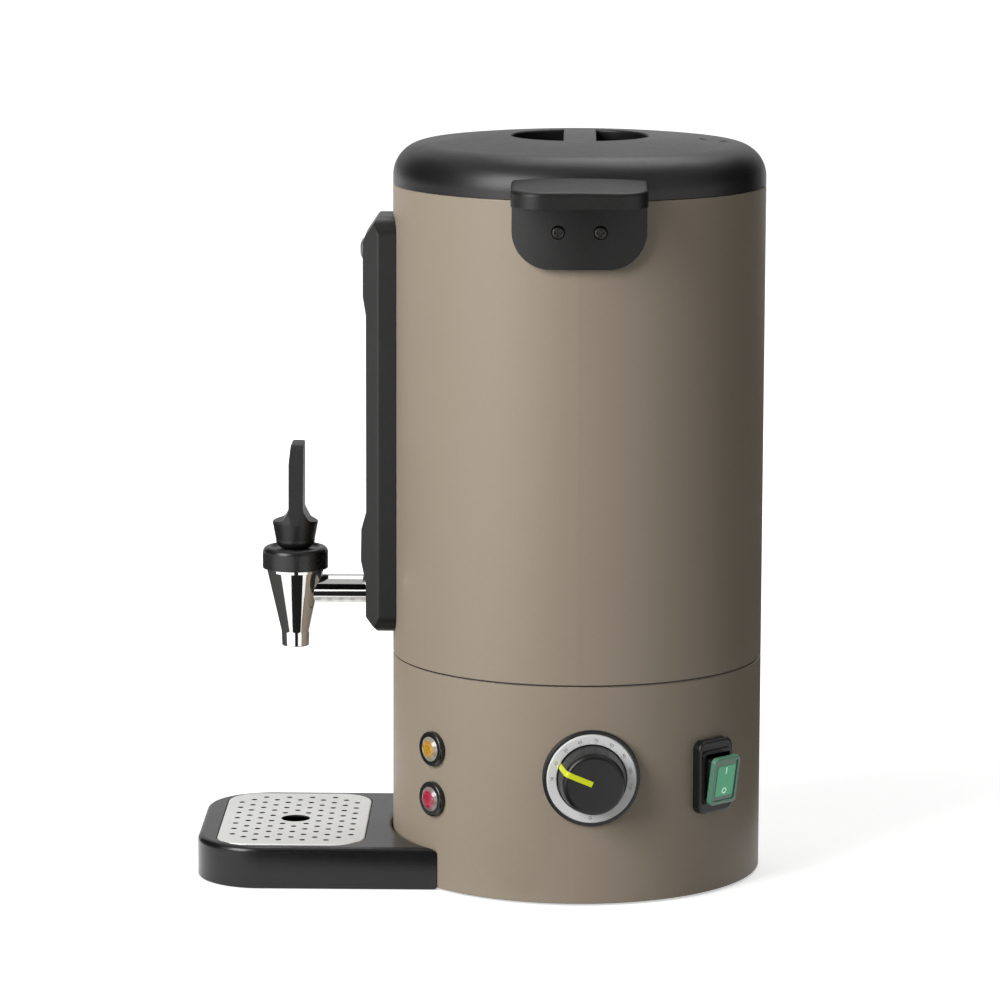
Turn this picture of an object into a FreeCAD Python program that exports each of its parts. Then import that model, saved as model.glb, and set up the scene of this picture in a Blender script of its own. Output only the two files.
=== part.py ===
import FreeCAD, Part
import math
import os
from FreeCAD import Vector

# Hot water urn: a double-walled drum on a heater base, with a gravity tap and a
# sight gauge at the front, a drip tray under the tap and a lift-off lid.
# Millimetres. +Z is up, the tap faces -Y, the controls sit on the +X side and
# the origin is on the drum's axis at the surface that the urn stands on.

# Clearances
running_gap = 0.05
fit_gap = 0.3
slip_gap = 0.6
edge_break = 0.4
edge_round = 0.6

# Drum and base
body_radius = 107.5
jacket_sheet = 0.9
base_sheet = 1.2
rim_gap = 1.2
base_height = 125.5
seam_gap = 0.8
seam_setback = 0.6
jacket_height = 273.7
sheet_edge_round = 0.7
base_flange_width = 36.0
base_lip_width = 9.0
base_lip_height = 7.2

# Base plate, its screws and the feet
plate_sheet = 1.2
plate_screw_count = 4
plate_screw_radius = 1.95
plate_screw_length = 8.0
plate_screw_inset = 5.0
screw_head_ratio = 1.85
screw_head_height = 2.4
recess_arm_ratio = 0.62
recess_blade_ratio = 0.2
recess_start_ratio = 0.45
foot_count = 4
foot_circle = 82.0
foot_start = 45.0
foot_radius = 10.5
foot_stem_radius = 2.9
foot_edge_height = 1.2
foot_barb_height = 3.4
vent_slot_count = 6
vent_slot_length = 26.0
vent_slot_width = 3.2
vent_slot_pitch = 8.0

# Tank, its studs and the heater under it
tank_sheet = 0.8
tank_air_gap = 7.8
tank_corner = 12.0
tank_standoff = 12.1
tank_rim_setback = 3.0
stud_count = 3
stud_circle = 79.0
stud_start = 90.0
stud_radius = 2.5
stud_length = 19.0
pad_radius = 6.0
heater_radius = 62.0
heater_thickness = 5.0
heater_edge_round = 1.0
element_circle = 48.0
element_radius = 4.2
element_opening = 44.0
element_pin_radius = 2.4
element_pin_length = 16.0
cutout_disc_radius = 8.5
cutout_disc_height = 8.0
cutout_tab_length = 30.0
cutout_tab_width = 7.0
cutout_tab_sheet = 0.8

# Lid
lid_height = 28.5
lid_side_height = 4.5
lid_edge_round = 19.0
lid_wall = 2.6
grip_radius = 39.5
grip_depth = 14.0
grip_bar_width = 18.7
grip_edge_round = 1.2
lid_boss_count = 4
lid_boss_circle = 70.0
lid_boss_start = 45.0
lid_boss_radius = 4.2
lid_screw_radius = 1.65
lid_screw_length = 12.0
pan_sheet = 0.8
pan_depth = 10.8
pan_flange_inset = 4.0
plug_gap = 2.5
lid_seal_height = 4.0
lid_seal_drop = 3.0
lid_screw_grip = 1.5
vent_inset = 29.5
vent_dimple_radius = 8.6
vent_dimple_depth = 2.6
vent_bore_radius = 4.2
vent_tube_radius = 5.6
vent_tube_drop = 0.4

# Handles, one on each side
handle_half_width = 38.0
handle_reach = 38.5
handle_plan_round = 18.0
handle_lip_height = 9.0
handle_lip_drop = 0.4
handle_back_rise = 13.6
handle_crown = 2.8
handle_skin = 3.6
handle_edge_round = 2.4
handle_root_depth = 8.0
handle_overcut = 4.0
handle_plate_thickness = 4.2
handle_plate_height = 37.2
handle_plate_round = 21.0
handle_screw_spacing = 23.6
handle_screw_drop = 16.3
handle_screw_radius = 2.0
handle_screw_length = 11.0
counterbore_depth = 1.4
backing_half_width = 20.0
backing_height = 15.0
backing_thickness = 2.0

# Sight gauge
gauge_half_width = 24.0
gauge_drop = 22.3
gauge_top_gap = 18.3
gauge_root_depth = 9.0
gauge_corner = 10.0
gauge_side_depth = 8.0
gauge_face_depth = 16.9
gauge_face_half_width = 15.5
gauge_wall = 2.4
gauge_brow_depth = 18.3
gauge_step_depth = 15.1
gauge_chin_height = 9.0
gauge_brow_start = 6.0
gauge_brow_rise = 19.7
gauge_brow_gap = 11.2
gauge_brow_round = 8.0
gauge_step_rise = 11.5
gauge_slope_height = 13.0
gauge_slope_round = 11.0
gauge_corner_round = 3.0
window_rise = 71.5
window_drop = 57.9
window_slot_half_width = 6.5
window_land = 3.0
window_sheet = 1.6
tube_radius = 4.5
tube_bore_radius = 3.5
tube_offset = 6.2
tube_rise = 22.0
tube_seat_rise = 10.2
tube_seal_height = 8.0
gauge_screw_drop = 20.4
gauge_screw_head_radius = 6.1
gauge_screw_radius = 2.4
gauge_rib_height = 5.0
socket_half_width = 11.5
socket_rise = 19.0
socket_drop = 10.5

# Tap
tap_reach = 57.2
shank_rise = 11.2
shank_radius = 8.4
shank_bore_radius = 4.2
shank_seal_width = 3.6
shank_nut_margin = 7.0
shank_nut_height = 7.0
shank_tail = 19.5
spout_radius = 8.0
spout_bore_radius = 6.3
spout_drop = 33.8
spout_length = 8.7
cone_bottom_radius = 8.35
cone_top_radius = 16.5
cone_rise = 10.6
cone_foot_round = 4.0
collar_radius = 14.6
collar_height = 8.5
chamber_radius = 12.6
chamber_throat_radius = 9.2
chamber_throat_rise = 2.3
chamber_shoulder_drop = 6.4
seat_depth = 23.2
seat_drop = 2.2
bonnet_step = 1.9
bonnet_radius = 19.15
bonnet_height = 12.7
bonnet_round = 3.5
bonnet_skirt = 8.7
bonnet_dish_radius = 13.2
bonnet_dish_depth = 1.3
bonnet_land = 1.5
stem_radius = 3.3
stem_collar_radius = 7.4
stem_collar_height = 1.5
cup_radius = 8.3
cup_nose_radius = 5.8
cup_height = 10.4
cup_nose_length = 1.7
spring_mean_radius = 5.6
spring_wire_radius = 0.6
spring_turns = 6
spring_arcs_per_turn = 4
pin_radius = 1.2
cam_radius = 4.7
cam_offset = 6.7
lever_travel_deg = 38.0
skirt_top_radius = 13.25
skirt_top_rise = 10.3
lever_slot_half_width = 3.6
lever_slot_depth = 9.7
paddle_rise = 58.1
paddle_half_thickness = 4.2
paddle_offset = 0.9
paddle_flare = 0.3
paddle_tip_lean = 1.1
paddle_tip_half_width = 10.0
paddle_neck_rise = 18.5
paddle_tip_height = 12.0
shoulder_width = 3.5
lever_cavity_gap = 0.9

# Tray and grid
tray_half_width = 72.8
tray_front = 220.0
tray_height = 24.5
tray_front_round = 38.0
tray_edge_round = 3.2
tray_foot_round = 1.4
tray_wall = 2.6
tray_floor_height = 3.0
tray_ledge_drop = 2.5
tray_ledge_width = 3.0
grid_half_width = 66.3
grid_front = 208.0
grid_back = 122.3
grid_corner = 20.0
grid_sheet = 1.1
grid_rise = 0.4
grid_seat_gap = 0.5
grid_hole_radius = 1.75
grid_centre_radius = 8.5
grid_column_count = 11
grid_column_pitch = 6.9
grid_row_pitch = 13.7
grid_long_column = 9

# Thermostat, dial and knob
knob_azimuth = 4.6
control_height = 74.4
thermostat_half_width = 18.0
thermostat_depth = 20.0
bush_radius = 4.95
bush_length = 8.2
shaft_radius = 3.0
shaft_flat = 1.9
bezel_radius = 27.7
bezel_rise = 2.1
dial_radius = 25.6
dial_thickness = 1.3
dial_gap = 0.4
knob_base_radius = 19.7
knob_face_radius = 17.3
knob_height = 17.0
knob_round = 3.0
knob_wall = 2.2
knob_hub_radius = 6.2
pointer_width = 3.2
pointer_depth = 0.6
pointer_proud = 0.15
pointer_start = 1.0
pointer_angle = 157.0
bush_nut_flats = 14.0
bush_nut_height = 2.5
bulb_radius = 3.0
bulb_length = 60.0
bulb_offset = 14.0
capillary_radius = 0.9
capillary_bend = 3.0
capillary_drop = 27.0
capillary_lead = 8.0

# Rocker switch
switch_azimuth = 45.5
switch_height = 69.8
switch_half_width = 13.5
switch_half_height = 21.2
switch_corner = 5.0
switch_rise = 5.0
switch_edge_round = 1.5
switch_back_half_width = 12.0
switch_back_half_height = 17.4
switch_back_depth = 23.0
blade_count = 4
blade_length = 8.0
blade_width = 6.3
blade_sheet = 0.8
boot_half_width = 11.8
boot_half_height = 15.6
boot_rise = 1.2
boot_groove = 0.5
pocket_half_width = 9.8
pocket_half_height = 13.6
rocker_pivot_depth = 3.5
rocker_pivot_radius = 1.5
rocker_core_half_width = 9.2
rocker_core_half_height = 11.8
rocker_throw_deg = 9.0
rocker_lip_sheet = 0.7
rocker_lip_inset = 1.0
rocker_belly_radius = 3.6
cap_half_width = 10.9
cap_half_height = 14.1
cap_front = 10.8
cap_thickness = 3.0
cap_corner = 3.0
cap_recess_depth = 0.7
cap_border = 2.3
lens_half_width = 7.1
lens_half_height = 9.0
lens_thickness = 0.9

# Pilot lamps
lamp_azimuth = -49.5
lamp_heights = {"amber": 82.7, "red": 53.4}
lamp_bezel_radius = 10.1
lamp_rise = 3.0
lamp_body_radius = 6.9
lamp_body_depth = 22.0
lamp_lens_radius = 7.1
lamp_lens_dome = 1.9
lamp_lens_seat = 1.4
lamp_nut_flats = 18.0
lamp_nut_height = 3.5

# Cable gland, on the side away from the controls, and terminal block
gland_azimuth = 140.0
gland_height = 30.0
gland_radius = 7.9
gland_flange_radius = 10.5
gland_length = 15.0
gland_bore_radius = 3.8
gland_tail = 8.0
terminal_length = 42.0
terminal_width = 18.0
terminal_height = 15.0
terminal_ways = 3
terminal_y = 40.0
terminal_well_radius = 2.8
terminal_wire_radius = 2.2

# Heights and radii that follow from the sizes above
base_top = rim_gap + base_height
base_inner = body_radius - base_sheet
jacket_bottom = base_top + seam_gap
jacket_top = jacket_bottom + jacket_height
jacket_inner = body_radius - jacket_sheet
tank_outer = jacket_inner - tank_air_gap
tank_inner = tank_outer - tank_sheet
tank_underside = base_top + tank_standoff
tank_rim_top = jacket_top + tank_sheet
lid_bottom = jacket_top + fit_gap
lid_top = lid_bottom + lid_height
handle_lip_bottom = jacket_top - handle_lip_drop
handle_plate_bottom = handle_lip_bottom - handle_plate_height
handle_screw_height = handle_lip_bottom - handle_screw_drop
pan_level = tank_rim_top + fit_gap
pan_bottom = pan_level - pan_depth
vent_circle = body_radius - vent_inset
tap_y = -(body_radius + tap_reach)
shank_height = tank_underside + tank_sheet + tank_corner + shank_rise
spout_bottom = shank_height - spout_drop
cone_top = shank_height + cone_rise
seat_height = cone_top - seat_depth
bonnet_bottom = cone_top + bonnet_step
bonnet_top = bonnet_bottom + bonnet_height
plate_screw_circle = base_inner - plate_screw_inset
tray_back_radius = body_radius + slip_gap
tube_axis = -(body_radius + tube_offset)
tube_bottom = shank_height + tube_seat_rise
gauge_bottom = shank_height - gauge_drop
gauge_top = jacket_top - gauge_top_gap
window_bottom = gauge_bottom + window_rise
window_top = gauge_top - window_drop
gauge_screw_height = gauge_top - gauge_screw_drop
tube_top = window_top + tube_rise
bezel_front = body_radius + bezel_rise
knob_back = bezel_front + dial_gap
switch_front = body_radius + switch_rise
pivot_distance = switch_front - rocker_pivot_depth
lamp_front = body_radius + lamp_rise
handle_plate_outer = body_radius + slip_gap + handle_plate_thickness
cup_nose = seat_height - seat_drop - cup_nose_length
cup_top = cup_nose + cup_height
pin_height = bonnet_top - bonnet_dish_depth + fit_gap + cam_radius
tube_seal_radius = tube_offset - fit_gap


def in_xy(a, b):
    return Vector(a, b, 0)


def in_xz(a, b):
    return Vector(a, 0, b)


def in_yz(a, b):
    return Vector(0, a, b)


def outline(plane, corners):
    """Closed wire through the corners (a, b) of a plane, each rounded by its third value if it has one."""
    points = [plane(corner[0], corner[1]) for corner in corners]
    radii = [corner[2] if len(corner) > 2 else 0 for corner in corners]
    ends = []
    arcs = []
    for index, point in enumerate(points):
        back = (points[index - 1] - point).normalize()
        ahead = (points[(index + 1) % len(points)] - point).normalize()
        half_angle = back.getAngle(ahead) / 2
        radius = radii[index] if half_angle < math.pi / 2 - 1e-3 else 0
        reach = radius / math.tan(half_angle) if radius else 0
        ends.append((point + back * reach, point + ahead * reach))
        bisector = (back + ahead).normalize() if radius else Vector()
        arcs.append(point + bisector * (radius / math.sin(half_angle) - radius) if radius else None)
    edges = []
    for index, (start, end) in enumerate(ends):
        if arcs[index]:
            edges.append(Part.Arc(start, arcs[index], end).toShape())
        following = ends[(index + 1) % len(ends)][0]
        if end.distanceToPoint(following) > 1e-6:
            edges.append(Part.LineSegment(end, following).toShape())
    return Part.Wire(edges)


def extruded(plane, corners, start, end):
    """Solid of an outline pushed along the axis that its plane lacks, from start to end."""
    normal = {in_xy: Vector(0, 0, 1), in_xz: Vector(0, 1, 0), in_yz: Vector(1, 0, 0)}[plane]
    face = Part.Face(outline(plane, corners))
    face.translate(normal * start)
    return face.extrude(normal * (end - start))


def revolved(corners):
    """Solid of revolution about Z of an outline of (radius, height) corners."""
    return Part.Face(outline(in_xz, corners)).revolve(Vector(), Vector(0, 0, 1), 360)


def spun(corners):
    """Solid of revolution about X of an outline of (distance along X, radius) corners."""
    return Part.Face(outline(in_xy, corners)).revolve(Vector(), Vector(1, 0, 0), 360)


def cylinder(radius, bottom, top, x=0.0, y=0.0):
    return Part.makeCylinder(radius, top - bottom, Vector(x, y, bottom))


def rod(radius, start, end, y=0.0, z=0.0):
    """Cylinder along X."""
    return Part.makeCylinder(radius, end - start, Vector(start, y, z), Vector(1, 0, 0))


def across(radius, half_length):
    """Cylinder along Y, centred on the origin."""
    return Part.makeCylinder(radius, 2 * half_length, Vector(0, -half_length, 0), Vector(0, 1, 0))


def ring(outer, inner, bottom, top):
    return cylinder(outer, bottom, top).cut(cylinder(inner, bottom, top))


def box(x_range, y_range, z_range):
    corner = Vector(x_range[0], y_range[0], z_range[0])
    return Part.makeBox(x_range[1] - x_range[0], y_range[1] - y_range[0], z_range[1] - z_range[0], corner)


def rectangle(half_width, bottom, top, radius=0.0):
    """Corners of a rounded rectangle that is centred on the second axis."""
    return [
        (-half_width, bottom, radius),
        (half_width, bottom, radius),
        (half_width, top, radius),
        (-half_width, top, radius),
    ]


def hexagon(flats, start, end):
    """Hexagonal bar along X."""
    corner = flats / math.sqrt(3)
    angles = [math.radians(60 * k) for k in range(6)]
    corners = [(corner * math.cos(angle), corner * math.sin(angle)) for angle in angles]
    return extruded(in_yz, corners, start, end)


def turned(shape, degrees, axis=Vector(0, 0, 1), centre=Vector()):
    copy = shape.copy()
    copy.rotate(centre, axis, degrees)
    return copy


def moved(shape, x=0.0, y=0.0, z=0.0):
    copy = shape.copy()
    copy.translate(Vector(x, y, z))
    return copy


def on_wall(shape, azimuth, height):
    """Place a shape that was built along +X at its azimuth and height on the drum."""
    return moved(turned(shape, azimuth), z=height)


def to_front(shape):
    """Turn a shape that was built along +X to face -Y."""
    return turned(shape, -90)


def around(count, shape, first=0.0):
    """Compound of count copies of a shape turned about Z, evenly spaced from the first azimuth."""
    return Part.Compound([turned(shape, first + 360.0 * k / count) for k in range(count)])


def bolt_holes(count, radius, circle, bottom, top, first=0.0):
    """Compound of upright holes on a bolt circle."""
    return around(count, cylinder(radius, bottom, top, x=circle), first)


def cross_recess(radius, start, end):
    """Cross slot of a screw head along X."""
    arm = radius * recess_arm_ratio
    blade = radius * recess_blade_ratio
    flat = box((start, end), (-arm, arm), (-blade, blade))
    return flat.fuse(box((start, end), (-blade, blade), (-arm, arm)))


def pan_screw(radius, seat, length):
    """Pan-head screw along X whose head rests on seat and whose shank points to -X."""
    head = radius * screw_head_ratio
    corners = [
        (seat - length, 0),
        (seat - length, radius),
        (seat, radius),
        (seat, head, 0.3),
        (seat + screw_head_height, head * 0.9, 1.1),
        (seat + screw_head_height, 0),
    ]
    screw = spun(corners)
    recess_floor = seat + screw_head_height * recess_start_ratio
    return screw.cut(cross_recess(head, recess_floor, seat + screw_head_height + 1))


def tube_path(points, bend):
    """Wire of straight runs through the points, joined by tangent arcs of one radius."""
    edges = []
    start = points[0]
    for before, corner, after in zip(points, points[1:], points[2:]):
        back = (before - corner).normalize()
        ahead = (after - corner).normalize()
        half_angle = back.getAngle(ahead) / 2
        reach = bend / math.tan(half_angle)
        middle = corner + (back + ahead).normalize() * (bend / math.sin(half_angle) - bend)
        edges.append(Part.LineSegment(start, corner + back * reach).toShape())
        edges.append(Part.Arc(corner + back * reach, middle, corner + ahead * reach).toShape())
        start = corner + ahead * reach
    edges.append(Part.LineSegment(start, points[-1]).toShape())
    return Part.Wire(edges)


def tube(points, bend, radius):
    path = tube_path(points, bend)
    direction = (points[1] - points[0]).normalize()
    section = Part.Wire([Part.Circle(points[0], direction, radius).toShape()])
    return path.makePipeShell([section], True, False)


# Base


def base_housing():
    """Painted drum under the seam, with its top flange, tank pads, bottom lip and openings."""
    flange_inner = body_radius - base_flange_width
    shell = revolved([
        (body_radius, rim_gap, 0.4),
        (body_radius, base_top, sheet_edge_round),
        (flange_inner, base_top),
        (flange_inner, base_top - base_sheet),
        (base_inner, base_top - base_sheet),
        (base_inner, base_lip_height + base_sheet),
        (base_inner - base_lip_width, base_lip_height + base_sheet),
        (base_inner - base_lip_width, base_lip_height),
        (base_inner, base_lip_height),
        (base_inner, rim_gap),
    ])
    pad = cylinder(pad_radius, base_top - base_sheet, tank_underside, x=stud_circle)
    shell = shell.fuse(around(stud_count, pad, stud_start))
    stud_hole = stud_radius + fit_gap
    shell = shell.cut(bolt_holes(stud_count, stud_hole, stud_circle, 0, tank_underside + 1, stud_start))
    screw_hole = plate_screw_radius + fit_gap / 2
    shell = shell.cut(bolt_holes(plate_screw_count, screw_hole, plate_screw_circle, 0, base_top / 2))
    deep = (body_radius * 0.8, body_radius * 1.1)
    shell = shell.cut(on_wall(rod(bush_radius + fit_gap, *deep), knob_azimuth, control_height))
    slot = extruded(in_yz, rectangle(switch_back_half_width + fit_gap, -switch_back_half_height - fit_gap,
                                     switch_back_half_height + fit_gap), *deep)
    shell = shell.cut(on_wall(slot, switch_azimuth, switch_height))
    for height in lamp_heights.values():
        shell = shell.cut(on_wall(rod(lamp_body_radius + fit_gap, *deep), lamp_azimuth, height))
    return shell.cut(on_wall(rod(gland_radius + fit_gap, *deep), gland_azimuth, gland_height))


def base_plate():
    """Flat bottom cover with louvre slots, screwed up against the lip of the base housing."""
    top = base_lip_height
    plate = cylinder(base_inner - slip_gap, top - plate_sheet, top)
    screw_hole = plate_screw_radius + fit_gap / 2
    plate = plate.cut(bolt_holes(plate_screw_count, screw_hole, plate_screw_circle, 0, top + 1))
    plate = plate.cut(bolt_holes(foot_count, foot_stem_radius + fit_gap, foot_circle, 0, top + 1, foot_start))
    first = -(vent_slot_count - 1) / 2 * vent_slot_pitch
    for k in range(vent_slot_count):
        low = first + k * vent_slot_pitch - vent_slot_width / 2
        corners = rectangle(vent_slot_length / 2, low, low + vent_slot_width, vent_slot_width * 0.45)
        plate = plate.cut(extruded(in_xy, corners, 0, top + 1))
    return plate


def base_plate_screws():
    """Pan-head screws that come up through the base plate into the lip."""
    seat = -(base_lip_height - plate_sheet)
    screw = turned(pan_screw(plate_screw_radius, seat, plate_screw_length), 90, Vector(0, 1, 0))
    return around(plate_screw_count, moved(screw, x=plate_screw_circle))


def rubber_feet():
    """Push-in rubber feet with a barbed stem above the base plate."""
    seat = base_lip_height - plate_sheet
    grip = base_lip_height + fit_gap
    foot = revolved([
        (0, 0),
        (foot_radius * 0.82, 0, edge_round),
        (foot_radius, seat - foot_edge_height, edge_break),
        (foot_radius, seat),
        (foot_stem_radius, seat),
        (foot_stem_radius, grip),
        (foot_stem_radius * 1.4, grip + slip_gap),
        (foot_stem_radius * 0.6, grip + foot_barb_height, edge_break),
        (0, grip + foot_barb_height),
    ])
    return around(foot_count, moved(foot, x=foot_circle), foot_start)


def seam_ring():
    """Black ring that spaces the jacket from the base and centres it from inside."""
    inner = jacket_inner - fit_gap - 2.4
    return revolved([
        (body_radius - seam_setback, base_top),
        (body_radius - seam_setback, jacket_bottom),
        (jacket_inner - fit_gap, jacket_bottom),
        (jacket_inner - fit_gap, jacket_bottom + 5.5, 0.6),
        (inner, jacket_bottom + 5.5, 0.6),
        (inner, base_top),
    ])


def body_jacket():
    """Painted outer wall with the rolled top lip that carries the tank rim."""
    lip_inner = tank_outer + 2 * fit_gap
    shell = revolved([
        (body_radius, jacket_bottom, 0.4),
        (body_radius, jacket_top, sheet_edge_round),
        (lip_inner, jacket_top),
        (lip_inner, jacket_top - jacket_sheet),
        (jacket_inner, jacket_top - jacket_sheet),
        (jacket_inner, jacket_bottom),
    ])
    boss = rod(gauge_screw_radius + 2.2, jacket_inner - 5.0, jacket_inner + 0.4, z=gauge_screw_height)
    shell = shell.fuse(to_front(boss))
    shell = shell.cut(to_front(rod(gauge_screw_radius + fit_gap / 2, tank_outer + 1, body_radius + 1,
                                   z=gauge_screw_height)))
    shell = shell.cut(to_front(rod(shank_radius + fit_gap, tank_outer, body_radius + 1, z=shank_height)))
    radius = handle_screw_radius + fit_gap / 2
    for y in handle_screw_places():
        hole = rod(radius, tank_outer, body_radius + 1, y=y, z=handle_screw_height)
        shell = shell.cut([hole, turned(hole, 180)])
    return shell


# Tank and heater


def inner_tank():
    """Deep-drawn tank with its flat rim over the jacket and the hole for the tap shank."""
    bottom = tank_underside + tank_sheet
    rim_outer = body_radius - tank_rim_setback
    tank = revolved([
        (0, tank_underside),
        (tank_outer, tank_underside, tank_corner + tank_sheet),
        (tank_outer, jacket_top),
        (rim_outer, jacket_top),
        (rim_outer, tank_rim_top, 0.3),
        (tank_inner, tank_rim_top, 0.7),
        (tank_inner, bottom, tank_corner),
        (0, bottom),
    ])
    hole = rod(shank_radius + fit_gap, tank_inner - tank_corner, tank_outer + 1, z=shank_height)
    return tank.cut(to_front(hole))


def tank_studs():
    """Studs on the tank's underside that pass through the pads of the base."""
    stud = cylinder(stud_radius, tank_underside - stud_length, tank_underside, x=stud_circle)
    return around(stud_count, stud, stud_start)


def tank_nuts():
    flats = stud_radius * 3.2
    top = base_top - base_sheet
    nut = turned(hexagon(flats, -top, -(top - stud_radius * 1.6)), 90, Vector(0, 1, 0))
    nut = nut.cut(cylinder(stud_radius + running_gap, 0, base_top))
    return around(stud_count, moved(nut, x=stud_circle), stud_start)


def heater_plate():
    """Heat-spreading plate brazed to the tank's underside."""
    return revolved([
        (0, tank_underside - heater_thickness),
        (heater_radius, tank_underside - heater_thickness, heater_edge_round),
        (heater_radius, tank_underside),
        (0, tank_underside),
    ])


def heating_element():
    """Tubular element: an open ring under the heater plate with a terminal pin at each end."""
    height = tank_underside - heater_thickness - element_radius - running_gap
    section = Part.Face(Part.Wire([Part.Circle(Vector(element_circle, 0, height), Vector(0, 1, 0),
                                               element_radius).toShape()]))
    body = section.revolve(Vector(0, 0, height), Vector(0, 0, 1), 360 - element_opening)
    ends = []
    for angle in (0, 360 - element_opening):
        ball = Part.makeSphere(element_radius, Vector(element_circle, 0, height))
        pin = cylinder(element_pin_radius, height - element_pin_length, height, x=element_circle)
        ends.append(turned(ball.fuse(pin), angle))
    return turned(body.fuse(ends), 90 + element_opening / 2)


def thermal_cutout():
    """Snap-disc cut-out held flat against the heater plate by its two tabs."""
    top = tank_underside - heater_thickness
    tabs = box((-cutout_tab_length / 2, cutout_tab_length / 2), (-cutout_tab_width / 2, cutout_tab_width / 2),
               (top - cutout_tab_sheet, top))
    body = cylinder(cutout_disc_radius, top - cutout_disc_height, top)
    low = top - cutout_disc_height
    blade = blade_sheet / 2
    terminals = [
        box((-blade_width / 2, blade_width / 2), (y - blade, y + blade), (low - blade_length, low + 1))
        for y in (-cutout_disc_radius / 2, cutout_disc_radius / 2)
    ]
    cutout = body.fuse([tabs] + terminals)
    return moved(cutout, y=-cutout_tab_length / 2 - element_radius)


# Lid


def lid_dome_radius():
    """Radius of the dome that runs tangent into the lid's rounded edge."""
    centre_radius = body_radius - lid_edge_round
    rise = lid_height - lid_side_height
    return (centre_radius ** 2 + rise ** 2 - lid_edge_round ** 2) / (2 * (rise - lid_edge_round))


def dome_level(radius):
    """Height of the lid's outer skin at a distance from its centre, inside the rounded edge."""
    dome_radius = lid_dome_radius()
    return lid_top - dome_radius + math.sqrt(dome_radius ** 2 - radius ** 2)


def lid_dome(inset):
    """The lid's outer form, drawn in all round by inset, open end down."""
    dome_radius = lid_dome_radius()
    block = cylinder(body_radius - inset, lid_bottom, lid_top + 1)
    form = block.common(Part.makeSphere(dome_radius - inset, Vector(0, 0, lid_top - dome_radius)))
    rims = [edge for edge in form.Edges if edge.BoundBox.ZMin > lid_bottom + lid_side_height - inset
            and edge.BoundBox.ZLength < fit_gap]
    return form.makeFillet(lid_edge_round - inset, rims)


def lid_cover():
    """Moulded cover: domed skin, round grip well crossed by a bar, screw bosses and steam vent."""
    skin = lid_dome(0)
    hollow = lid_dome(lid_wall)
    floor = lid_top - grip_depth
    boss_bottom = pan_bottom + pan_sheet + fit_gap
    boss_top = dome_level(lid_boss_circle + lid_boss_radius) - lid_wall / 2
    boss = cylinder(lid_boss_radius, boss_bottom, boss_top, x=lid_boss_circle)
    bosses = around(lid_boss_count, boss, lid_boss_start)
    half_bar = grip_bar_width / 2
    well = cylinder(grip_radius + lid_wall, floor - lid_wall, lid_top)
    core = box((1 - grip_radius, grip_radius - 1), (lid_wall - half_bar, half_bar - lid_wall),
               (floor - lid_wall - 1, lid_top))
    vent_base = cylinder(vent_dimple_radius + 1.2, vent_floor() - lid_wall, lid_top, y=vent_circle)
    cover = skin.cut(hollow.cut([well.cut(core), vent_base]))
    pocket = cylinder(grip_radius, floor, lid_top + 1)
    bar = box((-grip_radius - 1, grip_radius + 1), (-half_bar, half_bar), (floor - 1, lid_top + 1))
    cover = cover.cut(pocket.cut(bar))
    rim_level = dome_level(grip_radius) - lid_wall / 2
    rims = [edge for edge in cover.Edges if edge.BoundBox.ZMin > rim_level]
    cover = cover.makeFillet(grip_edge_round, rims)
    cover = cover.fuse(bosses)
    cover = cover.cut(bolt_holes(lid_boss_count, lid_screw_radius + running_gap, lid_boss_circle,
                                 boss_bottom - 1, boss_bottom + lid_screw_length, lid_boss_start))
    dimple_radius = (vent_dimple_radius ** 2 + vent_dimple_depth ** 2) / (2 * vent_dimple_depth)
    dimple = Part.makeSphere(dimple_radius, Vector(0, vent_circle, vent_floor() + dimple_radius))
    cover = cover.cut(dimple)
    return cover.cut(cylinder(vent_tube_radius + fit_gap / 2, lid_bottom, lid_top + 1, y=vent_circle))


def vent_floor():
    """Bottom of the vent's dimple."""
    return dome_level(vent_circle) - vent_dimple_depth


def lid_pan():
    """Inner pan that closes the lid from below and plugs into the tank."""
    outer = body_radius - pan_flange_inset
    wall = tank_inner - plug_gap
    bottom = pan_bottom
    pan = revolved([
        (0, bottom),
        (wall, bottom, 3.0),
        (wall, pan_level),
        (outer, pan_level),
        (outer, pan_level + pan_sheet),
        (wall - pan_sheet, pan_level + pan_sheet),
        (wall - pan_sheet, bottom + pan_sheet, 2.2),
        (0, bottom + pan_sheet),
    ])
    screw_hole = lid_screw_radius + fit_gap
    low = bottom - 1
    pan = pan.cut(bolt_holes(lid_boss_count, screw_hole, lid_boss_circle, low, pan_level, lid_boss_start))
    return pan.cut(cylinder(vent_tube_radius + fit_gap / 2, bottom - 1, pan_level, y=vent_circle))


def lid_seal():
    """Silicone ring round the pan's plug, just clear of the tank."""
    inner = tank_inner - plug_gap + running_gap
    outer = tank_inner - fit_gap
    top = pan_level - lid_seal_drop
    return revolved([
        (inner, top - lid_seal_height),
        (outer - 0.6, top - lid_seal_height, 0.5),
        (outer, top - lid_seal_height / 2, 0.4),
        (outer - 0.6, top, 0.5),
        (inner, top),
    ])


def lid_screws():
    screw = pan_screw(lid_screw_radius, -pan_bottom, lid_screw_length - lid_screw_grip)
    screw = turned(screw, 90, Vector(0, 1, 0))
    return around(lid_boss_count, moved(screw, x=lid_boss_circle), lid_boss_start)


def vent_tube():
    """Steam tube from the dimple in the cover down to the pan."""
    top = vent_floor() - vent_tube_drop
    return moved(ring(vent_tube_radius, vent_bore_radius, pan_bottom, top), y=vent_circle)


# Handles


def handle_top(x):
    """Height of the lip's top surface at its middle, at a distance from the drum's axis."""
    slope = (handle_back_rise - handle_lip_height) / handle_reach
    return handle_lip_bottom + handle_back_rise - slope * (x - body_radius)


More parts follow.
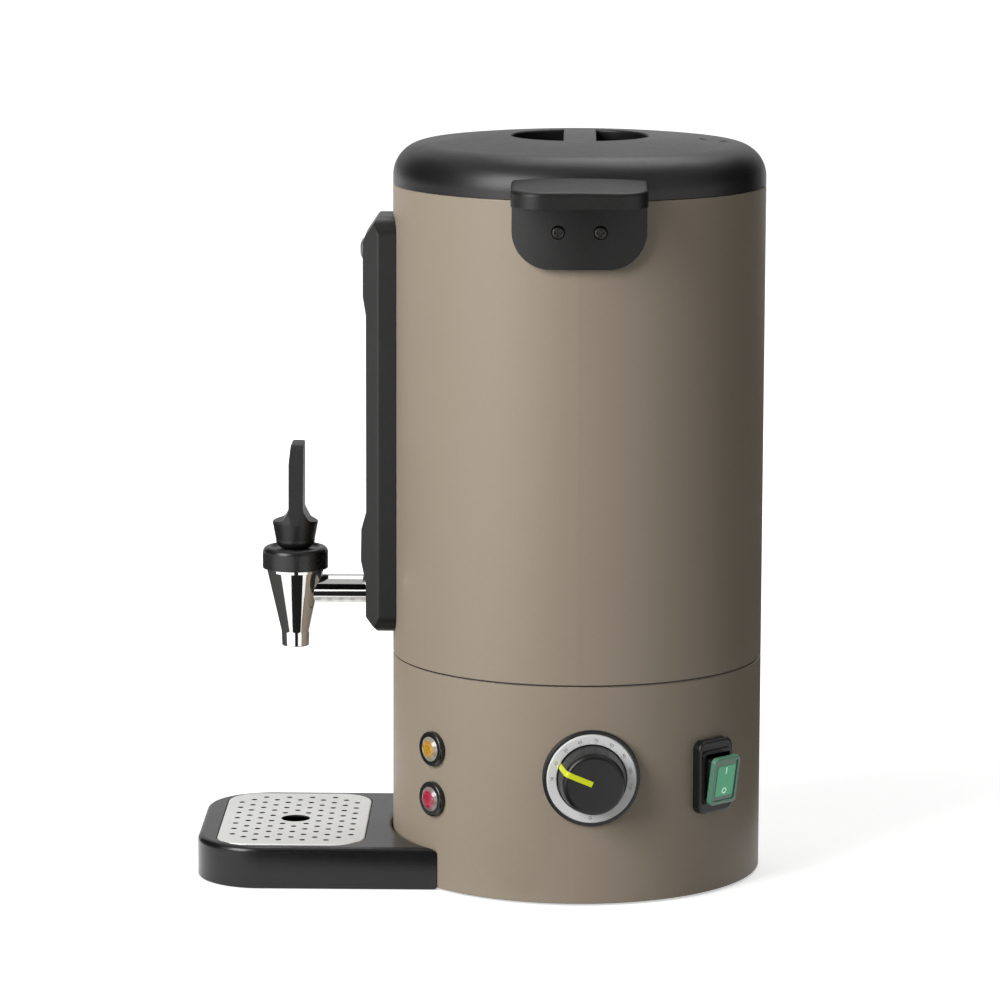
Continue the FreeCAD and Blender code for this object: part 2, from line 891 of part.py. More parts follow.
def handle_loft(start, end, bottom, drop):
    """Crowned block between two planes across X; drop lowers its top."""
    sections = []
    for x, crown in ((start, handle_crown), (end, handle_crown * 0.06)):
        top = handle_top(x) - drop
        left = Vector(x, -handle_half_width, top - crown)
        right = Vector(x, handle_half_width, top - crown)
        low_left = Vector(x, -handle_half_width, bottom)
        low_right = Vector(x, handle_half_width, bottom)
        sections.append(Part.Wire([
            Part.Arc(left, Vector(x, 0, top), right).toShape(),
            Part.LineSegment(right, low_right).toShape(),
            Part.LineSegment(low_right, low_left).toShape(),
            Part.LineSegment(low_left, left).toShape(),
        ]))
    return Part.makeLoft(sections, True, True)


def handle_plan(inset, start, height_range):
    """The lip's outline from above, rounded at its two outer corners."""
    end = body_radius + handle_reach - inset
    half = handle_half_width - inset
    radius = handle_plan_round - inset
    corners = [(start, -half), (end, -half, radius), (end, half, radius), (start, half)]
    return extruded(in_xy, corners, *height_range)


def handle():
    """One moulding: a plate that follows the drum and a hollow lip to lift by."""
    back = body_radius - handle_root_depth
    front = body_radius + handle_reach + handle_overcut
    span = (handle_plate_bottom - 1, handle_lip_bottom + handle_back_rise + 5)
    lip = handle_loft(back, front, handle_lip_bottom, 0).common(handle_plan(0, back, span))
    upper = handle_lip_bottom + handle_lip_height * 0.6
    rim = [edge for edge in lip.Edges if edge.BoundBox.ZMin > upper and edge.BoundBox.XMax > body_radius]
    lip = lip.makeFillet(handle_edge_round, rim)
    half = handle_half_width - fit_gap
    top = handle_lip_bottom + 1
    corners = [
        (-half, handle_plate_bottom, handle_plate_round),
        (half, handle_plate_bottom, handle_plate_round),
        (half, top),
        (-half, top),
    ]
    plate = extruded(in_yz, corners, back, front)
    plate = plate.common(cylinder(handle_plate_outer, *span))
    hollow = handle_loft(back, front, handle_plate_bottom - 1, handle_skin)
    hollow = hollow.common(handle_plan(handle_skin, back, span)).cut(cylinder(handle_plate_outer, *span))
    shape = lip.cut(hollow).fuse(plate)
    shape = shape.cut(cylinder(body_radius + fit_gap, span[0], jacket_top))
    shape = shape.cut(cylinder(body_radius + slip_gap + fit_gap, jacket_top - slip_gap, span[1]))
    seat = handle_screw_seat()
    head = handle_screw_radius * screw_head_ratio + fit_gap
    for y in handle_screw_places():
        shape = shape.cut(rod(handle_screw_radius + fit_gap / 2, back, front, y=y, z=handle_screw_height))
        shape = shape.cut(rod(head, seat, front, y=y, z=handle_screw_height))
    return shape


def handle_screw_places():
    return -handle_screw_spacing / 2, handle_screw_spacing / 2


def handle_screw_seat():
    """Distance from the drum's axis to the floor of the counterbores."""
    return math.sqrt(handle_plate_outer ** 2 - (handle_screw_spacing / 2) ** 2) - counterbore_depth


def right_handle():
    return handle()


def left_handle():
    return turned(handle(), 180)


def handle_screws():
    screw = pan_screw(handle_screw_radius, handle_screw_seat(), handle_screw_length)
    pair = [moved(screw, y=y, z=handle_screw_height) for y in handle_screw_places()]
    return Part.Compound([turned(item, side) for side in (0, 180) for item in pair])


def handle_backing_plates():
    """Curved plates inside the jacket that the handle screws pull against."""
    outer = jacket_inner - fit_gap / 2
    block = box((0, body_radius), (-backing_half_width, backing_half_width),
                (handle_screw_height - backing_height / 2, handle_screw_height + backing_height / 2))
    low = handle_screw_height - backing_height
    high = handle_screw_height + backing_height
    plate = block.common(ring(outer, outer - backing_thickness, low, high))
    for y in handle_screw_places():
        plate = plate.cut(rod(handle_screw_radius + running_gap, 0, body_radius, y=y, z=handle_screw_height))
    return Part.Compound([turned(plate, side) for side in (0, 180)])


# Sight gauge


def gauge_form(inset, face_depth, brow_depth, step_depth):
    """The gauge's form as what three outlines share: from the front, from above and from the side."""
    low = gauge_bottom + inset
    high = gauge_top - inset
    half = gauge_half_width - inset
    back = -(body_radius - gauge_root_depth)
    side = -(body_radius + gauge_side_depth)
    face = -(body_radius + face_depth)
    brow = -(body_radius + brow_depth)
    step = -(body_radius + step_depth)
    far = brow - 3.0
    front_view = extruded(in_xz, rectangle(half, low, high, gauge_corner - inset / 2), far, back)
    plan = [(-half, back), (half, back), (half, side, 2.0), (gauge_face_half_width - inset, brow - 1.5, 2.0),
            (inset - gauge_face_half_width, brow - 1.5, 2.0), (-half, side, 2.0)]
    plan_view = extruded(in_xy, plan, low - 1, high + 1)
    brow_top = window_bottom - gauge_brow_gap
    profile = [
        (back, low),
        (side, low, gauge_corner_round),
        (step - 0.3, low + gauge_chin_height, gauge_corner_round),
        (step - 0.2, shank_height + gauge_brow_start, 4.0),
        (brow, shank_height + gauge_brow_rise, gauge_brow_round),
        (brow + 0.3, brow_top, 2.5),
        (step, window_bottom - 1.0, 2.0),
        (step, window_top + 1.0, gauge_corner_round),
        (face, window_top + gauge_step_rise, 6.0),
        (face, high - gauge_slope_height, gauge_slope_round),
        (side, high, gauge_corner_round),
        (back, high),
    ]
    side_view = extruded(in_yz, profile, -half - 1, half + 1)
    return front_view.common(plan_view).common(side_view)


def gauge_housing():
    """Moulded housing over the sight tube, hollow from behind, with its window slot and inner rib."""
    form = gauge_form(0, gauge_face_depth, gauge_brow_depth, gauge_step_depth)
    inner_depth = gauge_step_depth - gauge_wall
    cavity = gauge_form(gauge_wall, inner_depth, inner_depth, inner_depth)
    shell = form.cut(cavity)
    inner_face = -(body_radius + inner_depth)
    rib_low = tube_top - gauge_rib_height - 1.0
    rib = box((-gauge_half_width + 1, gauge_half_width - 1), (inner_face - 1, -body_radius + 1),
              (rib_low, rib_low + gauge_rib_height)).common(form)
    rib = rib.cut(cylinder(tube_seal_radius + fit_gap / 2, 0, jacket_top, y=tube_axis))
    boss = to_front(rod(gauge_screw_radius + 2.6, body_radius - 1, -inner_face + 1, z=gauge_screw_height))
    shell = shell.fuse([rib, boss])
    shell = shell.cut(cylinder(body_radius + fit_gap, 0, jacket_top))
    slot = rectangle(window_slot_half_width, window_bottom + window_land, window_top - window_land,
                     window_slot_half_width * 0.98)
    shell = shell.cut(extruded(in_xz, slot, -body_radius - gauge_brow_depth - 5, inner_face + 1))
    through = (body_radius - 1, body_radius + 2 * gauge_brow_depth)
    shell = shell.cut(to_front(rod(gauge_screw_radius + fit_gap / 2, *through, z=gauge_screw_height)))
    return shell.cut(to_front(rod(shank_radius + fit_gap, *through, z=shank_height)))


def gauge_window():
    """Clear window: a flange behind the wall and a raised land that fills the slot."""
    back = -(body_radius + gauge_step_depth - gauge_wall - fit_gap / 3)
    flange = extruded(in_xz, rectangle(window_slot_half_width + window_land, window_bottom, window_top, 3.0),
                      back, back + window_sheet)
    half = window_slot_half_width - fit_gap
    low = window_bottom + window_land + fit_gap
    high = window_top - window_land - fit_gap
    land = extruded(in_xz, rectangle(half, low, high, half * 0.98), back - gauge_wall + 0.5, back + 0.2)
    return flange.fuse(land)


def sight_tube():
    return moved(ring(tube_radius, tube_bore_radius, tube_bottom, tube_top), y=tube_axis)


def sight_tube_socket():
    """Block clamped on the tap's shank that feeds the sight tube from below."""
    front = -(body_radius + gauge_step_depth - gauge_wall - 1.0)
    back = -(body_radius + 1.0)
    corners = [(-socket_half_width, front, 2.0), (socket_half_width, front, 2.0),
               (socket_half_width, back), (-socket_half_width, back)]
    block = extruded(in_xy, corners, shank_height - socket_drop, shank_height + socket_rise)
    block = block.cut(to_front(rod(shank_radius + running_gap, 0, body_radius + tap_reach, z=shank_height)))
    block = block.cut(cylinder(tube_radius + running_gap, tube_bottom, tube_top, y=tube_axis))
    return block.cut(cylinder(tube_bore_radius * 0.6, shank_height, tube_bottom + 1, y=tube_axis))


def sight_tube_seals():
    """Silicone collar above the socket and stopper over the tube's upper end."""
    low = shank_height + socket_rise
    collar = ring(tube_seal_radius, tube_radius + running_gap, low, low + tube_seal_height * 0.6)
    seat = tube_top - tube_seal_height
    stopper = cylinder(tube_seal_radius, seat, tube_top + 2.0)
    stopper = stopper.cut(cylinder(tube_radius + running_gap, seat - 1, tube_top))
    stopper = stopper.cut(cylinder(1.0, seat, tube_top + 3))
    return moved(Part.Compound([collar, stopper]), y=tube_axis)


def gauge_screw():
    """Domed screw that holds the housing's upper end to the jacket."""
    seat = body_radius + gauge_face_depth
    tip = jacket_inner - 4.0
    screw = spun([
        (tip, 0),
        (tip, gauge_screw_radius, 0.4),
        (seat, gauge_screw_radius),
        (seat, gauge_screw_head_radius, 0.2),
        (seat + 0.7, gauge_screw_head_radius, 0.3),
        (seat + 2.0, gauge_screw_head_radius * 0.5, 4.0),
        (seat + 2.0, 0),
    ])
    screw = screw.cut(rod(1.9, seat + 0.8, seat + 3))
    return to_front(moved(screw, z=gauge_screw_height))


# Tap


def tap_body():
    """Chromed cone with its spout, valve chamber and seat, and the shank that runs back into the tank."""
    outer = revolved([
        (0, spout_bottom),
        (spout_radius, spout_bottom, edge_round),
        (cone_bottom_radius, spout_bottom + spout_length, cone_foot_round),
        (cone_top_radius, cone_top, edge_break),
        (cone_top_radius, bonnet_bottom - fit_gap),
        (collar_radius, bonnet_bottom - fit_gap),
        (collar_radius, bonnet_bottom - fit_gap + collar_height, edge_break),
        (0, bonnet_bottom - fit_gap + collar_height),
    ])
    outer = moved(outer, y=tap_y)
    shank = to_front(rod(shank_radius, tank_inner - shank_tail, body_radius + tap_reach, z=shank_height))
    outer = outer.fuse(shank)
    outer = outer.cut(to_front(rod(shank_bore_radius, 0, body_radius + tap_reach, z=shank_height)))
    feed = cylinder(tube_bore_radius * 0.6, shank_height, shank_height + shank_radius + 1, y=tube_axis)
    return outer.cut(feed).cut(moved(tap_chamber(), y=tap_y))


def tap_chamber():
    """Hollow of the tap about its own axis: valve chamber, conical seat and spout bore."""
    top = bonnet_bottom - fit_gap + collar_height
    return revolved([
        (0, spout_bottom - 1),
        (spout_bore_radius, spout_bottom - 1),
        (spout_bore_radius, seat_height - seat_drop),
        (chamber_throat_radius - edge_break / 2, seat_height),
        (chamber_throat_radius, seat_height + chamber_throat_rise),
        (chamber_radius, cone_top - chamber_shoulder_drop, 2.0),
        (chamber_radius, top + 1),
        (0, top + 1),
    ])


def tap_bonnet():
    """Screw cap over the tap's collar, bored for the stem and dished under the lever's cam."""
    low = bonnet_bottom
    inside = low + bonnet_skirt
    bonnet = revolved([
        (0, low),
        (bonnet_radius, low, edge_break),
        (bonnet_radius, bonnet_top, bonnet_round),
        (bonnet_dish_radius + bonnet_land, bonnet_top, edge_round),
        (bonnet_dish_radius, bonnet_top - bonnet_dish_depth),
        (0, bonnet_top - bonnet_dish_depth),
    ])
    bonnet = bonnet.cut(cylinder(collar_radius + fit_gap / 2, low - 1, inside))
    bonnet = bonnet.cut(cylinder(stem_radius + running_gap, low, bonnet_top))
    return moved(bonnet, y=tap_y)


def valve_stem():
    """Stem from the seat cup up through the bonnet to the eye for the lever's pin."""
    low = seat_height + 0.3
    collar = cup_top
    stem = revolved([
        (0, low),
        (stem_radius, low, 0.4),
        (stem_radius, collar),
        (stem_collar_radius, collar),
        (stem_collar_radius, collar + stem_collar_height, 0.4),
        (stem_radius, collar + stem_collar_height),
        (stem_radius, pin_height + stem_radius, 0.8),
        (0, pin_height + stem_radius),
    ])
    cheeks = box((-stem_radius - 1, stem_radius + 1), (-stem_radius - 1, stem_radius + 1),
                 (pin_height, pin_height + 2 * stem_radius))
    stem = stem.cut(cheeks.cut(rod(stem_radius, -stem_radius - 1, stem_radius + 1, z=pin_height)))
    stem = stem.cut(rod(pin_radius + running_gap, -stem_radius - 1, stem_radius + 1, z=pin_height))
    return moved(stem, y=tap_y)


def valve_seat_cup():
    """Silicone plug on the stem that closes on the conical seat."""
    shoulder = seat_height + fit_gap
    cup = revolved([
        (0, cup_nose),
        (cup_nose_radius, cup_nose, 0.6),
        (cup_nose_radius, seat_height - seat_drop),
        (cup_radius, shoulder, 0.3),
        (cup_radius, cup_top - 1.5, 0.8),
        (cup_radius - 1.5, cup_top),
        (0, cup_top),
    ])
    cup = cup.cut(cylinder(stem_radius + running_gap, seat_height + 0.3, cup_top + 1))
    return moved(cup, y=tap_y)


def spring_ends():
    """Heights of the spring's first and last wire centres, between the stem's collar and the bonnet."""
    low = cup_top + stem_collar_height + spring_wire_radius + running_gap
    high = bonnet_bottom + bonnet_skirt - spring_wire_radius - running_gap
    return low, high


def tap_spring():
    """Round-wire compression spring, swept along arcs that follow a helix."""
    low, high = spring_ends()
    steps = spring_turns * spring_arcs_per_turn

    def point(step):
        angle = 2 * math.pi * step / spring_arcs_per_turn
        height = low + (high - low) * step / steps
        return Vector(spring_mean_radius * math.cos(angle), spring_mean_radius * math.sin(angle), height)

    arcs = [Part.Arc(point(k), point(k + 0.5), point(k + 1)).toShape() for k in range(steps)]
    rise = (high - low) / spring_turns
    direction = Vector(0, 2 * math.pi * spring_mean_radius, rise).normalize()
    section = Part.Wire([Part.Circle(point(0), direction, spring_wire_radius).toShape()])
    print("spring: least gap between turns", round(rise - 2 * spring_wire_radius, 2), "mm")
    return moved(Part.Wire(arcs).makePipeShell([section], True, False), y=tap_y)


def lever_profile():
    """The lever from the side: cam foot, skirt, concave shoulders and upright paddle, about the pin."""
    skirt = skirt_top_radius
    half = paddle_half_thickness
    neck = paddle_neck_rise
    right = paddle_offset + half
    left = paddle_offset - half
    return [
        (-skirt, -cam_radius - 1), (skirt, -cam_radius - 1), (skirt, skirt_top_rise + 0.8, 0.8),
        (right + shoulder_width, skirt_top_rise + 2.0, 3.0), (right, neck, 5.0),
        (right + paddle_flare, paddle_rise, 1.3), (left + paddle_flare + paddle_tip_lean, paddle_rise, 2.0),
        (left, paddle_rise - paddle_tip_height, 14.0), (left, neck, 5.0),
        (left - shoulder_width, skirt_top_rise + 2.0, 3.0), (-skirt, skirt_top_rise + 0.8, 0.8),
    ]


def tap_lever():
    """Lever moulded in one: cam-footed skirt on the pin and a flat paddle above it."""
    side = extruded(in_yz, lever_profile(), -skirt_top_radius - 1, skirt_top_radius + 1)
    front = extruded(in_xz, [
        (-skirt_top_radius, -cam_radius - 1), (skirt_top_radius, -cam_radius - 1),
        (skirt_top_radius - 0.2, skirt_top_rise + 3.0, 6.0), (paddle_tip_half_width, paddle_rise, 5.5),
        (-paddle_tip_half_width, paddle_rise, 5.5), (0.2 - skirt_top_radius, skirt_top_rise + 3.0, 6.0),
    ], -skirt_top_radius - 1, skirt_top_radius + 1)
    foot = cam_offset + cam_radius
    barrel = revolved([
        (0, -cam_radius),
        (foot, -cam_radius, cam_radius),
        (foot, 0.6, 2.0),
        (skirt_top_radius, skirt_top_rise, 1.0),
        (skirt_top_radius, paddle_rise + 1),
        (0, paddle_rise + 1),
    ])
    lever = side.common(front).common(barrel)
    slot = lever_slot_half_width
    straight = box((-slot, slot), (-slot - fit_gap, slot + fit_gap), (-lever_slot_depth, 0))
    swung = turned(straight, -lever_travel_deg, Vector(1, 0, 0))
    crown = rod(stem_radius + lever_cavity_gap, -slot, slot)
    lever = lever.cut(straight.fuse([swung, crown]))
    lever = lever.cut(rod(pin_radius + running_gap, -skirt_top_radius, skirt_top_radius))
    return moved(lever, y=tap_y, z=pin_height)


def lever_pin():
    half = cam_offset + cam_radius - 0.5
    pin = spun([(-half, 0), (-half, pin_radius, 0.3), (half, pin_radius, 0.3), (half, 0)])
    return moved(pin, y=tap_y, z=pin_height)


def shank_spacer():
    """Sleeve on the shank between the tank and the jacket."""
    length_front = math.sqrt(jacket_inner ** 2 - (shank_radius + 2.4) ** 2) - fit_gap / 3
    sleeve = rod(shank_radius + 2.4, tank_outer + fit_gap / 3, length_front, z=shank_height)
    sleeve = sleeve.cut(rod(shank_radius + fit_gap / 2, 0, body_radius, z=shank_height))
    return to_front(sleeve)


def shank_seal_span():
    """Start and end of the silicone washer inside the tank, along the shank."""
    radius = shank_radius + shank_seal_width
    outer = math.sqrt(tank_inner ** 2 - radius ** 2) - fit_gap / 3
    return outer - 2.0, outer


def shank_seal():
    start, end = shank_seal_span()
    washer = rod(shank_radius + shank_seal_width, start, end, z=shank_height)
    return to_front(washer.cut(rod(shank_radius + fit_gap / 2, 0, body_radius, z=shank_height)))


def shank_nut():
    """Hexagon nut that clamps the shank from inside the tank."""
    end = shank_seal_span()[0]
    nut = hexagon(2 * shank_radius + shank_nut_margin, end - shank_nut_height, end)
    nut = nut.cut(rod(shank_radius + running_gap, 0, body_radius))
    return to_front(moved(nut, z=shank_height))


# Tray and grid


def tray_plan(inset, height_range):
    """The tray's outline from above, drawn in all round by inset, as a prism."""
    half = tray_half_width - inset
    radius = tray_front_round - inset
    front = -tray_front + inset
    corners = [(-half, 0), (-half, front, radius), (half, front, radius), (half, 0)]
    return extruded(in_xy, corners, *height_range)


def grid_plan(grow, height_range):
    """The grid's outline, let out all round by grow, as a prism."""
    corners = rectangle(grid_half_width + grow, -grid_front - grow, grow - grid_back, grid_corner + grow)
    return extruded(in_xy, corners, *height_range)


def tray_block():
    """The tray's outer form, with its rounded top and bottom edges, round the drum at the back."""
    block = tray_plan(0, (0, tray_height)).cut(cylinder(tray_back_radius, -1, tray_height + 1))
    block = max(block.Solids, key=lambda solid: solid.Volume)
    top = [edge for edge in block.Edges if edge.BoundBox.ZMin > tray_height - 0.01]
    block = block.makeFillet(tray_edge_round, top)
    bottom = [edge for edge in block.Edges if edge.BoundBox.ZMax < 0.01]
    return block.makeFillet(tray_foot_round, bottom)


def drip_tray():
    """Moulded tray: outer skirt, sunk well with a ledge for the grid, hollow underneath."""
    block = tray_block()
    ledge = tray_height - tray_ledge_drop
    seat = grid_plan(grid_seat_gap, (ledge, tray_height + 1))
    well = grid_plan(-tray_ledge_width, (tray_floor_height + tray_wall, tray_height + 1))
    under = tray_plan(tray_wall, (-1, tray_height - tray_wall))
    under = under.cut(cylinder(tray_back_radius + tray_wall, -2, tray_height))
    under = max(under.Solids, key=lambda solid: solid.Volume)
    pan = grid_plan(tray_wall - tray_ledge_width, (tray_floor_height, tray_height))
    rim = grid_plan(grid_seat_gap + tray_wall, (ledge - tray_wall, tray_height))
    under = under.cut(pan).cut(rim)
    return block.cut(under).cut(seat).cut(well)


def grid_holes():
    """Staggered drain holes in columns across the grid, leaving room for the centre hole."""
    middle_y = -(grid_front + grid_back) / 2
    last = grid_column_count - 1
    holes = []
    for column in range(grid_column_count):
        count = grid_long_column - column % 2
        if column in (0, last):
            count = grid_long_column - 2
        y = middle_y + (column - last / 2) * grid_column_pitch
        for row in range(count):
            x = (row - (count - 1) / 2) * grid_row_pitch
            if math.hypot(x, y - middle_y) > grid_centre_radius + 2 * grid_hole_radius:
                holes.append((x, y))
    return holes, middle_y


def drip_grid():
    """Pressed stainless grid: flat perforated top with a short rim turned down onto the tray's ledge."""
    top = tray_height + grid_rise
    ledge = tray_height - tray_ledge_drop
    plate = grid_plan(0, (ledge, top))
    upper = [edge for edge in plate.Edges if edge.BoundBox.ZMin > top - 0.01]
    plate = plate.makeFillet(grid_sheet * 0.9, upper)
    plate = plate.cut(grid_plan(-grid_sheet, (ledge - 1, top - grid_sheet)))
    holes, middle_y = grid_holes()
    tools = [cylinder(grid_hole_radius, ledge, top + 1, x=x, y=y) for x, y in holes]
    tools.append(cylinder(grid_centre_radius, ledge, top + 1, y=middle_y))
    return plate.cut(Part.Compound(tools))


# Thermostat, dial and knob, built along +X and then placed on the drum


def thermostat_front():
    """Distance from the drum's axis to the front of the thermostat, clear of the curved wall."""
    return math.sqrt((base_inner - fit_gap) ** 2 - thermostat_half_width ** 2)


def on_dial(shape):
    return on_wall(shape, knob_azimuth, control_height)


def thermostat_body():
    front = thermostat_front()
    half = thermostat_half_width
    back = front - thermostat_depth
    case = extruded(in_yz, rectangle(half, -half, half, 1.5), back, front)
    case = case.fuse(rod(bush_radius, front - 1, front + bush_length))
    terminals = [box((back - blade_length, back + 1), (y - blade_width / 2, y + blade_width / 2),
                     (-half / 2, blade_sheet - half / 2)) for y in (-half / 2, half / 2)]
    case = case.fuse(terminals)
    bore = rod(shaft_radius + running_gap, shaft_start() - fit_gap, front + bush_length + 1)
    return on_dial(case.cut(bore))


def shaft_start():
    """Inner end of the spindle, inside the thermostat's case."""
    return thermostat_front() - thermostat_depth * 0.6 + fit_gap


def shaft_solid(gap, start):
    """The spindle with its flat, let out by gap where it makes the knob's bore."""
    end = knob_back + knob_height - knob_wall - 1.0 + gap
    spindle = rod(shaft_radius + gap, start, end)
    side = shaft_radius + 1
    flat_start = knob_back + bush_nut_height + 1
    return spindle.cut(box((flat_start, end + 1), (-side, side), (shaft_flat + gap, side)))


def thermostat_shaft():
    return on_dial(shaft_solid(0, shaft_start()))


def thermostat_nut():
    """Nut on the bush that clamps the bezel, the wall and the thermostat together."""
    front = bezel_front
    nut = hexagon(bush_nut_flats, front, front + bush_nut_height)
    return on_dial(nut.cut(rod(bush_radius + running_gap, front - 1, front + bush_nut_height + 1)))


def dial_bezel():
    """Black ring whose back is shaped to the drum."""
    front = bezel_front
    back = body_radius * 0.9
    disc = spun([(back, 0), (back, bezel_radius), (front, bezel_radius, 0.9), (front, 0)])
    disc = disc.cut(rod(bush_radius + fit_gap / 2, back - 1, front + 1))
    disc = disc.cut(cylinder(body_radius + running_gap, -bezel_radius - 1, bezel_radius + 1))
    return on_dial(disc)


def dial_plate():
    """Raised silver ring that carries the scale."""
    front = bezel_front
    inner = knob_base_radius + dial_gap
    return on_dial(spun([
        (front, inner),
        (front, dial_radius),
        (front + dial_thickness, dial_radius - 0.5, 0.4),
        (front + dial_thickness, inner, 0.2),
    ]))


def knob_form(grow):
    """The knob's outer form, let out by grow."""
    back = knob_back
    front = back + knob_height
    return spun([
        (back, 0),
        (back, knob_base_radius + grow),
        (front + grow, knob_face_radius + grow, knob_round),
        (front + grow, 0),
    ])


def pointer_strip(half_width, low, high):
    """Part of the knob's skin, between two offsets, that lies under the pointer."""
    back = knob_back
    reach = knob_base_radius + knob_wall
    strip = box((back, back + knob_height + knob_wall), (pointer_start, reach), (-half_width, half_width))
    band = knob_form(high).cut(knob_form(low)).common(strip)
    return turned(band, pointer_angle, Vector(1, 0, 0))


def control_knob():
    """Hollow knob with a hub bored for the spindle and a groove for the pointer."""
    back = knob_back
    front = back + knob_height
    hollow = spun([(back - 1, 0), (back - 1, knob_base_radius - knob_wall),
                   (front - knob_wall, knob_face_radius - knob_wall, 1.5), (front - knob_wall, 0)])
    hub = rod(knob_hub_radius, bezel_front + bush_nut_height + slip_gap, front - knob_wall + 0.5)
    knob = knob_form(0).cut(hollow).fuse(hub)
    knob = knob.cut(shaft_solid(running_gap, back - 1))
    return on_dial(knob.cut(pointer_strip(pointer_width / 2 + running_gap, -pointer_depth, 1.0)))


def knob_pointer():
    """Lime pointer let into the knob's face and flank."""
    return on_dial(pointer_strip(pointer_width / 2, -pointer_depth, pointer_proud))


def bulb_height():
    return tank_underside - heater_thickness - bulb_radius - running_gap


def thermostat_bulb():
    """Sensing bulb under the heater plate and the capillary that leads to the thermostat."""
    height = bulb_height()
    half = bulb_length / 2
    bulb = rod(bulb_radius, -half, half, y=bulb_offset, z=height)
    entry = thermostat_front() - thermostat_depth * 0.7
    target = on_dial(Part.Vertex(Vector(entry, 0, thermostat_half_width + running_gap))).Point
    low = height - capillary_drop
    lead = half + capillary_lead
    points = [Vector(half - 1, bulb_offset, height), Vector(lead, bulb_offset, height),
              Vector(lead, bulb_offset, low), Vector(target.x, target.y, low), target]
    return bulb.fuse(tube(points, capillary_bend, capillary_radius))


# Rocker switch, built along +X and then placed on the drum


def on_switch(shape):
    return on_wall(shape, switch_azimuth, switch_height)


def switch_body():
    """Switch moulding: bezel shaped to the drum, case behind it, pocket for the rocker and four blades."""
    front = switch_front
    back = body_radius - switch_back_depth
    plan = rectangle(switch_half_width, -switch_half_height, switch_half_height, switch_corner)
    bezel = extruded(in_yz, plan, body_radius * 0.9, front)
    rim = [edge for edge in bezel.Edges if edge.BoundBox.XMin > front - 0.01]
    bezel = bezel.makeFillet(switch_edge_round, rim)
    bezel = bezel.cut(cylinder(body_radius + running_gap, -switch_half_height - 1, switch_half_height + 1))
    plan = rectangle(switch_back_half_width, -switch_back_half_height, switch_back_half_height)
    case = extruded(in_yz, plan, back, front - 1.0)
    pocket = extruded(in_yz, rectangle(pocket_half_width, -pocket_half_height, pocket_half_height, 1.0),
                      pivot_distance - 5.5, front + 1)
    blades = []
    for k in range(blade_count):
        y = (k % 2 - 0.5) * switch_back_half_width
        z = (k // 2 - 0.5) * switch_back_half_height
        blades.append(box((back - blade_length, back + 1), (y - blade_sheet / 2, y + blade_sheet / 2),
                          (z - blade_width / 2, z + blade_width / 2)))
    body = bezel.fuse([case] + blades).cut(pocket)
    bearing = moved(across(rocker_pivot_radius + running_gap, pocket_half_width + 1), x=pivot_distance)
    return on_switch(body.cut(bearing))


def switch_boot():
    """Grooved rubber frame round the rocker."""
    front = switch_front
    frame = extruded(in_yz, rectangle(boot_half_width, -boot_half_height, boot_half_height, 3.0), front,
                     front + boot_rise)
    high = boot_half_height + 1
    groove = extruded(in_yz, rectangle(boot_half_width + 1, -high, high, 3.0),
                      front + boot_rise * 0.4, front + boot_rise * 0.7)
    high = boot_half_height - boot_groove
    plan = rectangle(boot_half_width - boot_groove, -high, high, 2.5)
    core = extruded(in_yz, plan, front, front + boot_rise)
    hole = extruded(in_yz, rectangle(pocket_half_width, -pocket_half_height, pocket_half_height, 1.0),
                    front - 1, front + boot_rise + 1)
    return on_switch(frame.cut(groove.cut(core)).cut(hole))


def tilted(shape):
    """Swing a rocker piece, built level about its pivot, to its rest tilt with the top edge out."""
    swung = turned(shape, rocker_throw_deg, Vector(0, 1, 0))
    return on_switch(moved(swung, x=pivot_distance))


def rocker_core():
    """Black inner rocker on its two trunnions, with a second lip under the cap."""
    back = cap_front - cap_thickness
    half = rocker_core_half_height
    core = extruded(in_yz, rectangle(rocker_core_half_width, -half, half, 1.0), -1.5, back)
    belly = across(rocker_belly_radius, rocker_core_half_width)
    lip_half = cap_half_height - rocker_lip_inset
    lip = extruded(in_yz, rectangle(cap_half_width - rocker_lip_inset, -lip_half, lip_half, cap_corner),
                   back - rocker_lip_sheet, back)
    trunnions = across(rocker_pivot_radius, pocket_half_width + 1 - fit_gap)
    return tilted(core.fuse([belly, lip, trunnions]))


def rocker_cap():
    """Translucent cap with a raised border round the recess for its lens."""
    back = cap_front - cap_thickness
    plan = rectangle(cap_half_width, -cap_half_height, cap_half_height, cap_corner)
    cap = extruded(in_yz, plan, back, cap_front)
    rim = [edge for edge in cap.Edges if edge.BoundBox.XMin > cap_front - 0.01]
    cap = cap.makeFillet(0.9, rim)
    high = cap_half_height - cap_border
    recess = extruded(in_yz, rectangle(cap_half_width - cap_border, -high, high, 1.2),
                      cap_front - cap_recess_depth, cap_front + 1)
    high = lens_half_height + running_gap
    seat = extruded(in_yz, rectangle(lens_half_width + running_gap, -high, high, 0.8),
                    cap_front - cap_recess_depth - lens_thickness, cap_front + 1)
    return tilted(cap.cut(recess).cut(seat))


def rocker_lens():
    low = cap_front - cap_recess_depth - lens_thickness
    plan = rectangle(lens_half_width, -lens_half_height, lens_half_height, 0.8)
    return tilted(extruded(in_yz, plan, low, low + lens_thickness + 0.3))


# Pilot lamps, built along +X and then placed on the drum


def on_lamp(shape, height):
    return on_wall(shape, lamp_azimuth, height)


